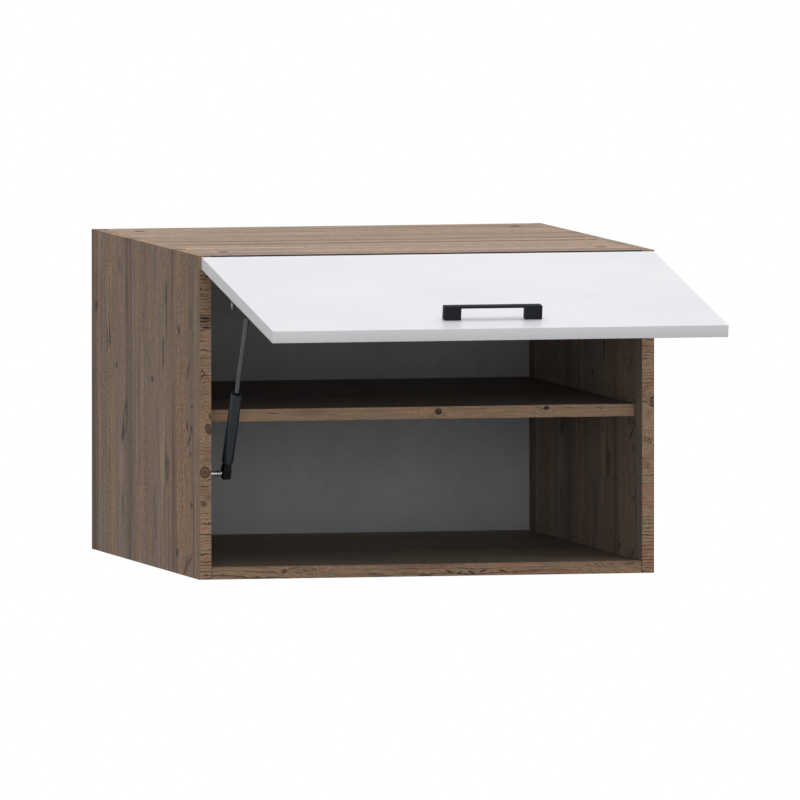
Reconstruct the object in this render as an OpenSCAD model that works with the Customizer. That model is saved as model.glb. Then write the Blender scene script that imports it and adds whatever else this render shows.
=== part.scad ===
// Lift-up wall cabinet: a deep unit with one shelf and a flap door held open by a gas strut.
// The door is drawn at its open stop. X is the width, +Y points to the wall, +Z is up,
// and the origin is the middle of the rear face.

/* [Carcass] */
// Width over the side panels
body_w = 600; // [450:10:900]
// Height of the side panels
body_h = 416; // [396:2:480]
// Depth from the front edges to the wall
body_d = 630; // [350:10:680]
// Thickness of the panels and the shelf
board_t = 16; // [15:0.5:18]
// Thickness of the back panel
back_t = 3; // [2.5:0.5:5]
// Margin of the back panel inside the outline of the carcass
back_margin = 1; // [0.5:0.5:2]
// Thickness of the edging on the front edges
edging_t = 0.8; // [0.4:0.1:1.2]

/* [Shelf] */
// Height of the shelf's middle above the middle of the carcass
shelf_raise = 0; // [-24:2:24]
// Distance of the shelf's front edge behind the front of the carcass
shelf_setback = 38; // [36:1:60]
// Gap between each end of the shelf and the side panel
shelf_end_gap = 0.8; // [0.5:0.1:2]
// Gap between the shelf and the back panel
shelf_back_gap = 2; // [1:0.5:6]
// Diameter of a shelf pin
shelf_pin_d = 5; // [4:0.5:7]
// Depth of a shelf pin in the side panel
shelf_pin_depth = 10; // [7:0.5:12]
// Length of the tongue that carries the shelf
shelf_tongue = 9; // [6:0.5:12]
// Distance of the shelf pins from the ends of the shelf's edge
shelf_pin_place = 60; // [40:5:80]

/* [Carcass joints] */
// Diameter of a cam lock
cam_d = 15; // [12:0.5:16]
// Depth of a cam lock in the panel
cam_depth = 12.5; // [12:0.1:13]
// Distance from the side panel to the middle of a cam lock
cam_reach = 34; // [24:1:40]
// Distance of the front cam locks from the front
cam_front = 82; // [60:1:100]
// Distance of the rear cam locks from the rear
cam_rear = 65; // [50:1:90]
// Diameter of the shank of a cam bolt
cam_bolt_d = 6.5; // [5.5:0.1:7]
// Diameter of a dowel
dowel_d = 8; // [6:1:10]
// Length of a dowel
dowel_len = 30; // [25:1:35]
// Distance from a cam lock to the dowel beside it
dowel_pitch = 32; // [25:1:40]
// Diameter of a back nail
nail_d = 1.6; // [1.2:0.1:2]
// Length of a back nail
nail_len = 20; // [15:1:25]
// Largest distance between two back nails
nail_pitch = 160; // [100:10:200]

/* [Wall brackets] */
// Length of each leg of a wall bracket
bracket_leg = 42; // [36:1:50]
// Height of a wall bracket
bracket_h = 46; // [40:1:60]
// Thickness of the bracket steel
bracket_t = 2; // [1.5:0.5:3]
// Distance of a wall bracket below the top panel
bracket_drop = 12; // [8:1:30]
// Diameter of a wall screw hole
wall_hole_d = 8; // [6:0.5:10]
// Distance of a wall screw hole from the inner face of the side panel
wall_hole_inset = 24; // [18:1:28]

/* [Door] */
// Thickness of the door
door_t = 16; // [16:0.5:19]
// Reveal between the door and the outline of the carcass
door_gap = 2; // [1:0.5:3]
// Gap between the closed door and the front edges
door_clear = 3.2; // [3:0.1:4.5]
// Angle of the door at its open stop
open_angle = 80; // [70:1:82]
// Thickness of the edging round the door
door_edging_t = 0.8; // [0.4:0.1:1.2]
// Diameter of a door bumper
bumper_d = 8; // [6:0.5:10]
// Height of the bumpers above the door's lower edge
bumper_up = 30; // [15:1:60]

/* [Handle] */
// Length of the handle
handle_l = 128; // [110:2:192]
// Width of the handle along the door
handle_w = 12; // [10:0.5:16]
// Distance that the handle stands out
handle_out = 18.2; // [14:0.2:28]
// Thickness of the handle's bar
handle_bar_t = 2.8; // [2:0.2:5]
// Length of each leg
handle_leg = 22; // [14:1:26]
// Chamfer on the outer edges of the handle
handle_chamfer = 0.8; // [0.4:0.1:1.5]
// Distance of the handle's middle above the door's lower edge
handle_up = 50; // [40:1:120]
// Diameter of a handle screw
handle_screw_d = 4; // [3:0.5:5]
// Depth of a handle screw in a leg
handle_screw_depth = 9; // [6:0.5:11]

/* [Hinges] */
// Distance of a hinge from the outer face of the side panel
hinge_inset = 100; // [90:5:160]
// Depth of the hinge axis behind the door's inner face
axis_depth = 9; // [8.5:0.1:9.2]
// Distance of the hinge axis below the door's top edge
axis_drop = 7.5; // [7:0.1:7.8]
// Diameter of a hinge cup
cup_d = 35; // [35:0.5:40]
// Depth of a hinge cup in the door
cup_depth = 12.8; // [12.4:0.1:13.5]
// Distance from the door's top edge to a hinge cup
cup_edge = 3; // [2.6:0.1:3.2]
// Wall of a hinge cup
cup_wall = 0.8; // [0.6:0.1:0.9]
// Thickness of the flange round a hinge cup
flange_t = 1.2; // [0.8:0.1:1.4]
// Distance between the two screws of a hinge cup
cup_screw_pitch = 48; // [46:1:54]
// Diameter of a hinge pin
hinge_pin_d = 3; // [2.5:0.1:3.2]
// Radial running gap round a hinge pin
running_gap = 0.06; // [0.04:0.01:0.1]
// Diameter of the knuckle round a hinge pin
knuckle_d = 5.2; // [4.8:0.1:5.4]
// Width of the knuckle and the cranked part of the arm
knuckle_w = 9; // [7:0.5:11]
// Thickness of the hinge arm
arm_t = 1.5; // [1:0.1:1.6]
// Straight length of the hinge arm behind the crank
arm_len = 54; // [48:1:70]
// Width of the rail on the mounting plate
rail_w = 9.2; // [8:0.2:12]
// Height of the rail on the mounting plate
rail_h = 6.2; // [5.6:0.1:6.6]
// Thickness of the mounting plate's wings
plate_t = 1.5; // [1.2:0.1:2]
// Distance between the two screws of a mounting plate
plate_screw_pitch = 32; // [28:1:40]
// Diameter of the screw that clamps the arm to the rail
arm_screw_d = 5; // [4:0.5:6]

/* [Gas strut] */
// Distance of the strut's axis from the outer face of the left side panel
strut_inset = 40.8; // [38:0.2:50]
// Distance of the lower ball behind the front edges
foot_back = 25; // [24:0.5:27]
// Height of the lower ball above the underside
foot_up = 135; // [125:1:145]
// Distance of the upper ball below the door's top edge
head_drop = 107.3; // [100:0.1:110]
// Distance of the upper ball from the door's inner face
head_standoff = 22.4; // [20:0.2:24]
// Outer diameter of the strut tube
tube_d = 15; // [14:0.5:18]
// Wall of the strut tube
tube_wall = 1.2; // [0.8:0.1:1.6]
// Thickness of the tube's closed end
tube_end_t = 2.5; // [2:0.1:4]
// Diameter of the strut rod
rod_d = 6; // [5:0.5:8]
// Length of the rod guide
guide_len = 7; // [5:0.5:10]
// Thickness of the rod seal
seal_t = 2.5; // [2:0.1:4]
// Thickness of the piston
piston_t = 4.5; // [4:0.1:8]
// Free travel left at each end of the stroke
stroke_spare = 0.8; // [0.5:0.1:3]
// Diameter of each ball
ball_d = 8; // [7:0.5:9]
// Diameter of the neck behind a ball
ball_neck_d = 5; // [4:0.1:5.4]
// Diameter of the shank of a ball stud
stud_d = 6; // [5:0.1:7]
// Diameter of the collar on a ball stud
collar_d = 8.4; // [7.5:0.1:10]
// Width of a ball socket
socket_w = 12; // [11.6:0.1:13]
// Depth of a ball socket from front to back
socket_depth = 14; // [12:0.5:16]
// Distance from a ball to the outer end of its socket
socket_tail = 6.5; // [6:0.1:8]
// Distance from a ball to the tube or the rod's shoulder
socket_reach = 17.2; // [16:0.1:20]

/* [Strut brackets] */
// Thickness of the steel plates that carry the ball studs
strut_plate_t = 2.5; // [2:0.1:3]
// Height of the plate on the side panel
foot_plate_h = 46; // [42:1:60]
// Width of the plate on the side panel
foot_plate_w = 28; // [24:1:34]
// Distance of the door bracket's flange from the outer face of the side panel
head_flange_inset = 19.5; // [18.5:0.1:21]
// Width of the door bracket's foot across the door
head_foot_w = 32; // [28:1:40]
// Length of the door bracket's foot along the door
head_foot_l = 30; // [26:1:40]

/* [Screws] */
// Shank diameter of a chipboard screw
screw_d = 3.5; // [3:0.1:4]
// Length of a chipboard screw
screw_len = 14; // [12:0.5:14.5]
// Head diameter of a chipboard screw
screw_head_d = 6.8; // [6:0.1:7]
// Gap between a loose piece and its hole
fit_gap = 0.1; // [0.05:0.01:0.15]

/* [Hidden] */

$fn = 48;

// Planes of the carcass
left_x = -body_w / 2;
inner_x = left_x + board_t;
front_y = -body_d;
back_y = -back_t;
base_z = -body_h / 2;
roof_z = body_h / 2;
floor_z = base_z + board_t;
ceiling_z = roof_z - board_t;
inner_w = body_w - 2 * board_t;
board_front = front_y + edging_t;

// Shelf
shelf_z = shelf_raise - board_t / 2;
shelf_front = front_y + shelf_setback;
shelf_rear = back_y - shelf_back_gap;
shelf_pin_rows = [shelf_front + shelf_pin_place, shelf_rear - shelf_pin_place];
tongue_t = shelf_pin_d / 2;
tongue_w = shelf_pin_d + 4;

// Cam locks and dowels, as rows along the depth
cam_rows = [front_y + cam_front, -cam_rear];
dowel_rows = [cam_rows[0] + dowel_pitch, cam_rows[1] - dowel_pitch];
cam_waist_d = cam_bolt_d - 2.5;
cam_head_t = 3;
cam_waist_l = 4;
cam_thread_d = 5;
cam_thread_l = 11;
cam_slot_d = cam_bolt_d + 1.5;
cam_recess = [7, 1.6, 3];
dowel_in_side = 10;

// Back nails
nail_head_d = 2 * nail_d;
nail_head_t = 0.6;
nail_margin = 40;
nail_z = [for (i = [0:2]) (i - 1) * (body_h / 2 - nail_margin)];
nail_n = ceil((inner_w - 2 * nail_margin) / nail_pitch);
nail_step = (inner_w - 2 * nail_margin) / nail_n;
nail_x = [for (i = [0:nail_n]) (i - nail_n / 2) * nail_step];

// Wall brackets
bracket_top = ceiling_z - bracket_drop;
wall_hole_x = inner_x + wall_hole_inset;
wall_hole_z = bracket_top - bracket_h / 2;
bracket_screw_y = back_y - bracket_leg / 2 - 4;
bracket_screw_z = [for (s = [-1, 1]) wall_hole_z + s * bracket_h / 4];

// Door, drawn closed and then opened about the hinge axis
door_w = body_w - 2 * door_gap;
door_h = body_h - 2 * door_gap;
door_in = front_y - door_clear;
door_out = door_in - door_t;
door_top = roof_z - door_gap;
door_bottom = base_z + door_gap;
hinge_y = door_in - axis_depth;
hinge_z = door_top - axis_drop;
hinge_x = left_x + hinge_inset;
bumper_t = door_clear - 0.2;
bumper_x = left_x + board_t / 2;

// Hinge cup, arm and mounting plate
cup_z = door_top - cup_edge - cup_d / 2;
cup_floor = door_in - cup_depth;
cup_rim_d = cup_d + 2.4;
wing_h = 16;
wing_w = cup_screw_pitch + 13;
cheek_in = knuckle_w / 2 + 0.5;
cheek_t = 2;
cheek_l = 4;
pin_half = cheek_in + cheek_t - fit_gap;
crank_angle = -70;
crank_r = 21;
crank = [hinge_y + crank_r * cos(crank_angle), hinge_z + crank_r * sin(crank_angle)];
rail_bottom = ceiling_z - plate_t - rail_h;
arm_z = rail_bottom - arm_t / 2;
arm_front = front_y + 9;
arm_rear = arm_front + arm_len;
arm_cheek_t = 1.2;
arm_cheek_gap = 0.2;
arm_w = rail_w + 2 * (arm_cheek_gap + arm_cheek_t);
arm_cheek_top = ceiling_z - plate_t - 0.4;
rail_front = arm_front + 4;
rail_len = arm_len - 8;
plate_y = rail_front + rail_len / 2;
plate_l = 22;
plate_w = plate_screw_pitch + 13;
arm_screw_y = arm_rear - 12;
arm_screw_depth = rail_h - 1;
arm_screw_head_d = 8;
arm_screw_head_t = 2;

// Handle
handle_z = door_bottom + handle_up;
handle_screw_x = handle_l / 2 - handle_leg * 8 / 11;
handle_head_d = 2 * handle_screw_d;
handle_head_t = 2.4;

// Gas strut: the lower ball stays, the upper ball goes round the hinge axis with the door
strut_x = left_x + strut_inset;
foot = [front_y + foot_back, base_z + foot_up];
head_shut = [door_in + head_standoff, door_top - head_drop];
head = opened(head_shut);
open_len = norm(head - foot);
shut_len = norm(head_shut - foot);
stroke = open_len - shut_len;
lean = lean_of(head);
shut_lean = lean_of(head_shut);
tube_lip_t = 0.8;
tube_lip_gap = 1;
tube_len = tube_end_t + stroke_spare + stroke + piston_t + stroke_spare
    + seal_t + guide_len + tube_lip_t;
tube_top = socket_reach + tube_len;
tube_in_d = tube_d - 2 * tube_wall;
guide_z = tube_top - tube_lip_t - guide_len;
seal_z = guide_z - seal_t;
piston_z = seal_z - stroke_spare - piston_t;
end_stud_d = 5;
end_stud_l = 7;
socket_neck_d = 11;
socket_shoulder = socket_reach * 0.55;
socket_groove = 0.5;
mouth_d = ball_neck_d + 1;
ball_gap = 0.1;
loop_gap = 0.35;
collar_x = strut_x - socket_w / 2 - 5.2;
collar_l = 2.4;
foot_screw_z = foot_plate_h / 2 - 7;
flange_x = left_x + head_flange_inset;
flange_r = 7;
head_foot_t = 2;
head_screw_x = flange_x + head_foot_w * 0.55;
head_screw_z = head_foot_l / 2 - 6.5;
stud_rivet_d = stud_d + 2;
stud_rivet_t = 0.8;

function opened(p) =
    let (y = p[0] - hinge_y, z = p[1] - hinge_z)
    [hinge_y + y * cos(open_angle) + z * sin(open_angle),
     hinge_z - y * sin(open_angle) + z * cos(open_angle)];

function lean_of(p) = atan2(foot[0] - p[0], p[1] - foot[1]);

echo("hinge axis y, z", hinge_y, hinge_z);
echo("lower ball x, y, z", strut_x, foot[0], foot[1]);
echo("upper ball y, z open", head[0], head[1]);
echo("strut lean open, shut", lean, shut_lean);
echo("strut length open, shut, stroke", open_len, shut_len, stroke);
echo("wall holes x, z", wall_hole_x, wall_hole_z);

// Draws the left-hand piece as it is, or its mirror image on the right
module on_side(side) {
    if (side < 0) children();
    else mirror([1, 0, 0]) children();
}

// Turns a piece of the closed door to the open stop
module on_door() {
    translate([0, hinge_y, hinge_z])
        rotate([-open_angle, 0, 0])
            translate([0, -hinge_y, -hinge_z])
                children();
}

// The strut's own frame: the lower ball at the origin and the rod along +Z
module on_strut() {
    translate([strut_x, foot[0], foot[1]])
        rotate([lean, 0, 0])
            children();
}

// The upper ball's frame, with the rod along +Z
module on_strut_head() {
    on_strut() translate([0, 0, open_len]) rotate([180, 0, 0]) children();
}

// A box from its lowest corner to its highest corner
module block(low, high) {
    translate(low) cube(high - low);
}

// A round bar along +X from a point
module bar_x(d, l) {
    rotate([0, 90, 0]) cylinder(d = d, h = l);
}

// A round bar along +Y from a point
module bar_y(d, l) {
    rotate([-90, 0, 0]) cylinder(d = d, h = l);
}

// An outline in Y and Z, made into a plate along +X
module plate_x(x, t) {
    translate([x, 0, 0]) rotate([90, 0, 90]) linear_extrude(t) children();
}

// A countersunk chipboard screw: the head's top is at the origin, and the tip points to -Z
module wood_screw() {
    head_t = (screw_head_d - screw_d) / 2;
    tip = screw_d;
    union() {
        translate([0, 0, -head_t]) cylinder(d1 = screw_d, d2 = screw_head_d, h = head_t);
        translate([0, 0, tip - screw_len]) cylinder(d = screw_d, h = screw_len - tip - head_t / 2);
        translate([0, 0, -screw_len]) cylinder(d1 = 0.4, d2 = screw_d, h = tip);
    }
}

// The hole for a countersunk chipboard screw
module wood_screw_hole() {
    head_t = (screw_head_d - screw_d) / 2;
    hole_d = screw_d + 2 * fit_gap;
    translate([0, 0, -head_t - fit_gap])
        cylinder(d1 = hole_d, d2 = screw_head_d + 4 * fit_gap, h = head_t + 2 * fit_gap);
    translate([0, 0, -screw_len - fit_gap]) cylinder(d = hole_d, h = screw_len + fit_gap);
}

// Places of the screws, each with its head's top at the origin and its shank along -Z
module at_bracket_screws() {
    for (z = bracket_screw_z)
        translate([inner_x + bracket_t, bracket_screw_y, z]) rotate([0, 90, 0]) children();
}

module at_plate_screws() {
    for (s = [-1, 1])
        translate([hinge_x + s * plate_screw_pitch / 2, plate_y, ceiling_z - plate_t])
            rotate([180, 0, 0]) children();
}

module at_cup_screws() {
    for (s = [-1, 1])
        translate([hinge_x + s * cup_screw_pitch / 2, door_in + flange_t, cup_z])
            rotate([-90, 0, 0]) children();
}

module at_foot_screws() {
    for (s = [-1, 1])
        translate([inner_x + strut_plate_t, foot[0], foot[1] + s * foot_screw_z])
            rotate([0, 90, 0]) children();
}

module at_head_screws() {
    for (s = [-1, 1])
        translate([head_screw_x, door_in + head_foot_t, head_shut[1] + s * head_screw_z])
            rotate([-90, 0, 0]) children();
}

module at_shelf_pins() {
    for (y = shelf_pin_rows)
        translate([inner_x, y, shelf_z - shelf_pin_d / 2]) children();
}

// Places of the joints along one end of the top panel or the bottom panel
module at_cams(level) {
    z = level * (roof_z - board_t / 2);
    for (y = cam_rows) translate([inner_x, y, z]) children();
}

module at_dowels(level) {
    z = level * (roof_z - board_t / 2);
    for (y = dowel_rows) translate([inner_x, y, z]) children();
}

module at_back_nails() {
    for (s = [-1, 1]) {
        for (z = nail_z) translate([s * (body_w - board_t) / 2, 0, z]) rotate([-90, 0, 0]) children();
        for (x = nail_x) translate([x, 0, s * (body_h - board_t) / 2]) rotate([-90, 0, 0]) children();
    }
}

module back_nail_holes() {
    at_back_nails() {
        translate([0, 0, -nail_head_t - fit_gap])
            cylinder(d = nail_head_d + 2 * fit_gap, h = nail_head_t + 2 * fit_gap);
    }
    at_back_nails() {
        translate([0, 0, -nail_len - fit_gap]) cylinder(d = nail_d + 2 * fit_gap, h = nail_len);
    }
}

module side_panel(side) {
    color("#6f6256")
    on_side(side) difference() {
        block([left_x, board_front, base_z], [inner_x, back_y, roof_z]);
        for (level = [-1, 1]) {
            at_cams(level)
                translate([-cam_thread_l - fit_gap, 0, 0])
                    bar_x(cam_thread_d + 2 * fit_gap, cam_thread_l + 1);
            at_dowels(level)
                translate([-dowel_in_side - fit_gap, 0, 0])
                    bar_x(dowel_d + 2 * fit_gap, dowel_in_side + 1);
        }
        at_shelf_pins()
            translate([-shelf_pin_depth - fit_gap, 0, 0])
                bar_x(shelf_pin_d + 2 * fit_gap, shelf_pin_depth + 1);
        at_bracket_screws() wood_screw_hole();
        if (side < 0) at_foot_screws() wood_screw_hole();
        back_nail_holes();
    }
}

// The top panel, or the bottom panel, with the cam locks in its outer face
module cross_panel(level) {
    z = level * (roof_z - board_t / 2);
    difference() {
        block([inner_x, board_front, z - board_t / 2], [-inner_x, back_y, z + board_t / 2]);
        for (side = [-1, 1]) on_side(side) {
            at_cams(level) {
                translate([cam_reach, 0, 0]) scale([1, 1, level])
                    translate([0, 0, board_t / 2 - cam_depth])
                        cylinder(d = cam_d + 2 * fit_gap, h = cam_depth + 1);
            }
            at_cams(level) translate([-1, 0, 0]) bar_x(cam_slot_d, cam_reach + 1);
            at_dowels(level)
                translate([-1, 0, 0])
                    bar_x(dowel_d + 2 * fit_gap, dowel_len - dowel_in_side + 1 + fit_gap);
        }
        back_nail_holes();
    }
}

module top_panel() {
    color("#9f8675")
    difference() {
        cross_panel(1);
        for (side = [-1, 1]) on_side(side) at_plate_screws() wood_screw_hole();
    }
}

module bottom_panel() {
    color("#6f6256") cross_panel(-1);
}

module back_panel() {
    color("#9e9ea1")
    difference() {
        block([left_x + back_margin, back_y, base_z + back_margin],
              [-left_x - back_margin, 0, roof_z - back_margin]);
        back_nail_holes();
        for (side = [-1, 1]) on_side(side)
            translate([wall_hole_x, back_y - 1, wall_hole_z]) bar_y(wall_hole_d, back_t + 2);
    }
}

module shelf() {
    color("#6f6256")
    block([inner_x + shelf_end_gap, shelf_front + edging_t, shelf_z],
          [-inner_x - shelf_end_gap, shelf_rear, shelf_z + board_t]);
}

module side_edging(side) {
    color("#87705c")
    on_side(side) block([left_x, front_y, base_z], [inner_x, board_front, roof_z]);
}

module cross_edging(level) {
    z = level * (roof_z - board_t / 2);
    color("#87705c")
    block([inner_x, front_y, z - board_t / 2], [-inner_x, board_front, z + board_t / 2]);
}

module shelf_edging() {
    color("#87705c")
    block([inner_x + shelf_end_gap, shelf_front, shelf_z],
          [-inner_x - shelf_end_gap, shelf_front + edging_t, shelf_z + board_t]);
}

module shelf_pins() {
    color("silver")
    for (side = [-1, 1]) on_side(side) at_shelf_pins() union() {
        translate([-shelf_pin_depth, 0, 0]) bar_x(shelf_pin_d, shelf_pin_depth + shelf_tongue);
        translate([0, -tongue_w / 2, 0]) cube([shelf_tongue, tongue_w, tongue_t]);
    }
}

module cam_locks() {
    color("#5a4a40")
    for (level = [-1, 1], side = [-1, 1]) on_side(side) at_cams(level)
        translate([cam_reach, 0, 0]) scale([1, 1, level]) difference() {
            translate([0, 0, board_t / 2 - cam_depth]) cylinder(d = cam_d, h = cam_depth - 0.2);
            translate([-cam_d, 0, 0]) bar_x(cam_slot_d, cam_d + cam_head_t);
            for (a = [0, 90]) rotate([0, 0, a])
                translate([-cam_recess[0] / 2, -cam_recess[1] / 2, board_t / 2 - cam_recess[2]])
                    cube(cam_recess);
        }
}

module cam_bolts() {
    color("silver")
    for (level = [-1, 1], side = [-1, 1]) on_side(side) at_cams(level) union() {
        neck = cam_reach - cam_head_t / 2 - cam_waist_l;
        translate([-cam_thread_l, 0, 0]) bar_x(cam_thread_d, cam_thread_l + 1);
        bar_x(cam_bolt_d, neck);
        translate([neck - 1, 0, 0]) bar_x(cam_waist_d, cam_waist_l + 2);
        translate([neck + cam_waist_l, 0, 0]) bar_x(cam_bolt_d, cam_head_t);
    }
}

module dowels() {
    color("burlywood")
    for (level = [-1, 1], side = [-1, 1]) on_side(side) at_dowels(level)
        translate([-dowel_in_side, 0, 0]) bar_x(dowel_d, dowel_len);
}

module back_nails() {
    color("silver")
    at_back_nails() union() {
        translate([0, 0, -nail_head_t]) cylinder(d = nail_head_d, h = nail_head_t);
        translate([0, 0, 1 - nail_len]) cylinder(d = nail_d, h = nail_len - 1);
        translate([0, 0, -nail_len]) cylinder(d1 = 0.3, d2 = nail_d, h = 1);
    }
}

module wall_bracket(side) {
    low_z = bracket_top - bracket_h;
    color("silver")
    on_side(side) difference() {
        union() {
            block([inner_x, back_y - bracket_leg, low_z], [inner_x + bracket_t, back_y, bracket_top]);
            block([inner_x, back_y - bracket_t, low_z], [inner_x + bracket_leg, back_y, bracket_top]);
        }
        translate([wall_hole_x, back_y - bracket_t - 1, wall_hole_z])
            bar_y(wall_hole_d, bracket_t + 2);
        at_bracket_screws() wood_screw_hole();
    }
}

module wall_bracket_screws() {
    color("gainsboro")
    for (side = [-1, 1]) on_side(side) at_bracket_screws() wood_screw();
}

module hinge_plate(side) {
    color("silver")
    on_side(side) difference() {
        union() {
            block([hinge_x - plate_w / 2, plate_y - plate_l / 2, ceiling_z - plate_t],
                  [hinge_x + plate_w / 2, plate_y + plate_l / 2, ceiling_z]);
            block([hinge_x - rail_w / 2, rail_front, rail_bottom],
                  [hinge_x + rail_w / 2, rail_front + rail_len, ceiling_z]);
        }
        at_plate_screws() wood_screw_hole();
        translate([hinge_x, arm_screw_y, rail_bottom - 1])
            cylinder(d = arm_screw_d + 2 * fit_gap, h = arm_screw_depth + 1 + fit_gap);
    }
}

module hinge_plate_screws() {
    color("gainsboro")
    for (side = [-1, 1]) on_side(side) at_plate_screws() wood_screw();
}

// A bent strip through points in Y and Z
module strip(points, t) {
    for (i = [0:len(points) - 2]) {
        a = points[i];
        b = points[i + 1];
        translate(a) rotate(atan2(b[1] - a[1], b[0] - a[0]))
            translate([0, -t / 2]) square([norm(b - a), t]);
    }
    for (i = [1:len(points) - 2]) translate(points[i]) circle(d = t);
}

module hinge_arm(side) {
    axis = [hinge_y, hinge_z];
    color("silver")
    on_side(side) difference() {
        union() {
            plate_x(hinge_x - knuckle_w / 2, knuckle_w) {
                strip([axis, crank, [arm_front, arm_z], [arm_front + 6, arm_z]], arm_t);
                translate(axis) circle(d = knuckle_d);
            }
            block([hinge_x - arm_w / 2, arm_front, arm_z - arm_t / 2],
                  [hinge_x + arm_w / 2, arm_rear, arm_z + arm_t / 2]);
            for (s = [-1, 1]) {
                x = hinge_x + s * (arm_w - arm_cheek_t) / 2;
                block([x - arm_cheek_t / 2, arm_front, arm_z],
                      [x + arm_cheek_t / 2, arm_rear, arm_cheek_top]);
            }
        }
        translate([hinge_x - knuckle_w, hinge_y, hinge_z])
            bar_x(hinge_pin_d + 2 * running_gap, 2 * knuckle_w);
        translate([hinge_x, arm_screw_y, arm_z - arm_t])
            cylinder(d = arm_screw_d + 2 * fit_gap, h = 2 * arm_t);
    }
}

module hinge_arm_screws() {
    under = arm_z - arm_t / 2;
    color("gainsboro")
    for (side = [-1, 1]) on_side(side) translate([hinge_x, arm_screw_y, 0]) difference() {
        union() {
            translate([0, 0, under]) cylinder(d = arm_screw_d, h = arm_t + arm_screw_depth);
            translate([0, 0, under - arm_screw_head_t])
                cylinder(d = arm_screw_head_d, h = arm_screw_head_t);
        }
        for (a = [0, 90]) rotate([0, 0, a])
            translate([-2.5, -0.5, under - arm_screw_head_t - 1]) cube([5, 1, 2.2]);
    }
}

module strut_foot_plate() {
    color("#2a2b2d")
    difference() {
        block([inner_x, foot[0] - foot_plate_w / 2, foot[1] - foot_plate_h / 2],
              [inner_x + strut_plate_t, foot[0] + foot_plate_w / 2, foot[1] + foot_plate_h / 2]);
        at_foot_screws() wood_screw_hole();
        translate([inner_x - 1, foot[0], foot[1]])
            bar_x(stud_d + 2 * fit_gap, strut_plate_t + 2);
    }
}

module strut_foot_stud() {
    color("gainsboro")
    translate([0, foot[0], foot[1]]) union() {
        translate([inner_x, 0, 0]) bar_x(stud_d, collar_x - inner_x);
        translate([collar_x, 0, 0]) bar_x(collar_d, collar_l);
        translate([collar_x, 0, 0]) bar_x(ball_neck_d, strut_x - collar_x);
        translate([strut_x, 0, 0]) sphere(d = ball_d);
    }
}

module strut_foot_screws() {
    color("gainsboro") at_foot_screws() wood_screw();
}

module door_panel() {
    color("#ededf2")
    on_door() difference() {
        block([left_x + door_gap + door_edging_t, door_out, door_bottom + door_edging_t],
              [-left_x - door_gap - door_edging_t, door_in, door_top - door_edging_t]);
        for (side = [-1, 1]) on_side(side) {
            translate([hinge_x, cup_floor, cup_z]) bar_y(cup_d + 2 * fit_gap, cup_depth + 1);
            at_cup_screws() wood_screw_hole();
            translate([handle_screw_x, door_out - 1, handle_z])
                bar_y(handle_screw_d + 4 * fit_gap, door_t + 2);
        }
        at_head_screws() wood_screw_hole();
    }
}

// Four strips: the upper and lower ones run the full width
module door_edging() {
    x = left_x + door_gap;
    color("#f4f4f8")
    on_door() {
        block([x, door_out, door_top - door_edging_t], [-x, door_in, door_top]);
        block([x, door_out, door_bottom], [-x, door_in, door_bottom + door_edging_t]);
        for (side = [-1, 1]) on_side(side)
            block([x, door_out, door_bottom + door_edging_t],
                  [x + door_edging_t, door_in, door_top - door_edging_t]);
    }
}

module door_bumpers() {
    color("gainsboro")
    on_door() for (side = [-1, 1]) on_side(side)
        translate([bumper_x, door_in, door_bottom + bumper_up]) rotate([-90, 0, 0]) union() {
            cylinder(d = bumper_d, h = bumper_t * 0.6);
            translate([0, 0, bumper_t * 0.6])
                cylinder(d1 = bumper_d, d2 = bumper_d * 0.6, h = bumper_t * 0.4);
        }
}

// A bridge: the outline across the door, cut to the outline along the door
module handle() {
    half_l = handle_l / 2;
    half_w = handle_w / 2;
    gap = half_l - handle_leg;
    c = handle_chamfer;
    color("#232528")
    on_door() translate([0, door_out, handle_z]) difference() {
        intersection() {
            translate([0, 0, -half_w]) linear_extrude(handle_w) polygon([
                [-half_l, 0], [-half_l, c - handle_out], [c - half_l, -handle_out],
                [half_l - c, -handle_out], [half_l, c - handle_out], [half_l, 0],
                [gap, 0], [gap, handle_bar_t - handle_out],
                [-gap, handle_bar_t - handle_out], [-gap, 0]
            ]);
            plate_x(-half_l, handle_l) polygon([
                [0, -half_w], [0, half_w], [c - handle_out, half_w], [-handle_out, half_w - c],
                [-handle_out, c - half_w], [c - handle_out, -half_w]
            ]);
        }
        for (s = [-1, 1]) translate([s * handle_screw_x, -handle_screw_depth - 1, 0])
            bar_y(handle_screw_d + 2 * fit_gap, handle_screw_depth + 2);
    }
}

module handle_screws() {
    color("gainsboro")
    on_door() for (s = [-1, 1]) translate([s * handle_screw_x, 0, handle_z]) difference() {
        union() {
            translate([0, door_out - handle_screw_depth, 0])
                bar_y(handle_screw_d, door_t + handle_screw_depth);
            translate([0, door_in, 0]) bar_y(handle_head_d, handle_head_t);
        }
        for (a = [0, 90]) translate([0, door_in + handle_head_t, 0]) rotate([0, a, 0])
            translate([-2.2, -1.4, -0.5]) cube([4.4, 2, 1]);
    }
}

// The open cup with its flange on the door's inner face
module cup_shell() {
    difference() {
        union() {
            translate([hinge_x, cup_floor, cup_z]) bar_y(cup_d, cup_depth);
            translate([hinge_x, door_in, cup_z]) bar_y(cup_rim_d, flange_t);
            block([hinge_x - wing_w / 2, door_in, cup_z - wing_h / 2],
                  [hinge_x + wing_w / 2, door_in + flange_t, cup_z + wing_h / 2]);
        }
        translate([hinge_x, cup_floor + cup_wall, cup_z]) bar_y(cup_d - 2 * cup_wall, cup_depth + 2);
    }
}

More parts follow.
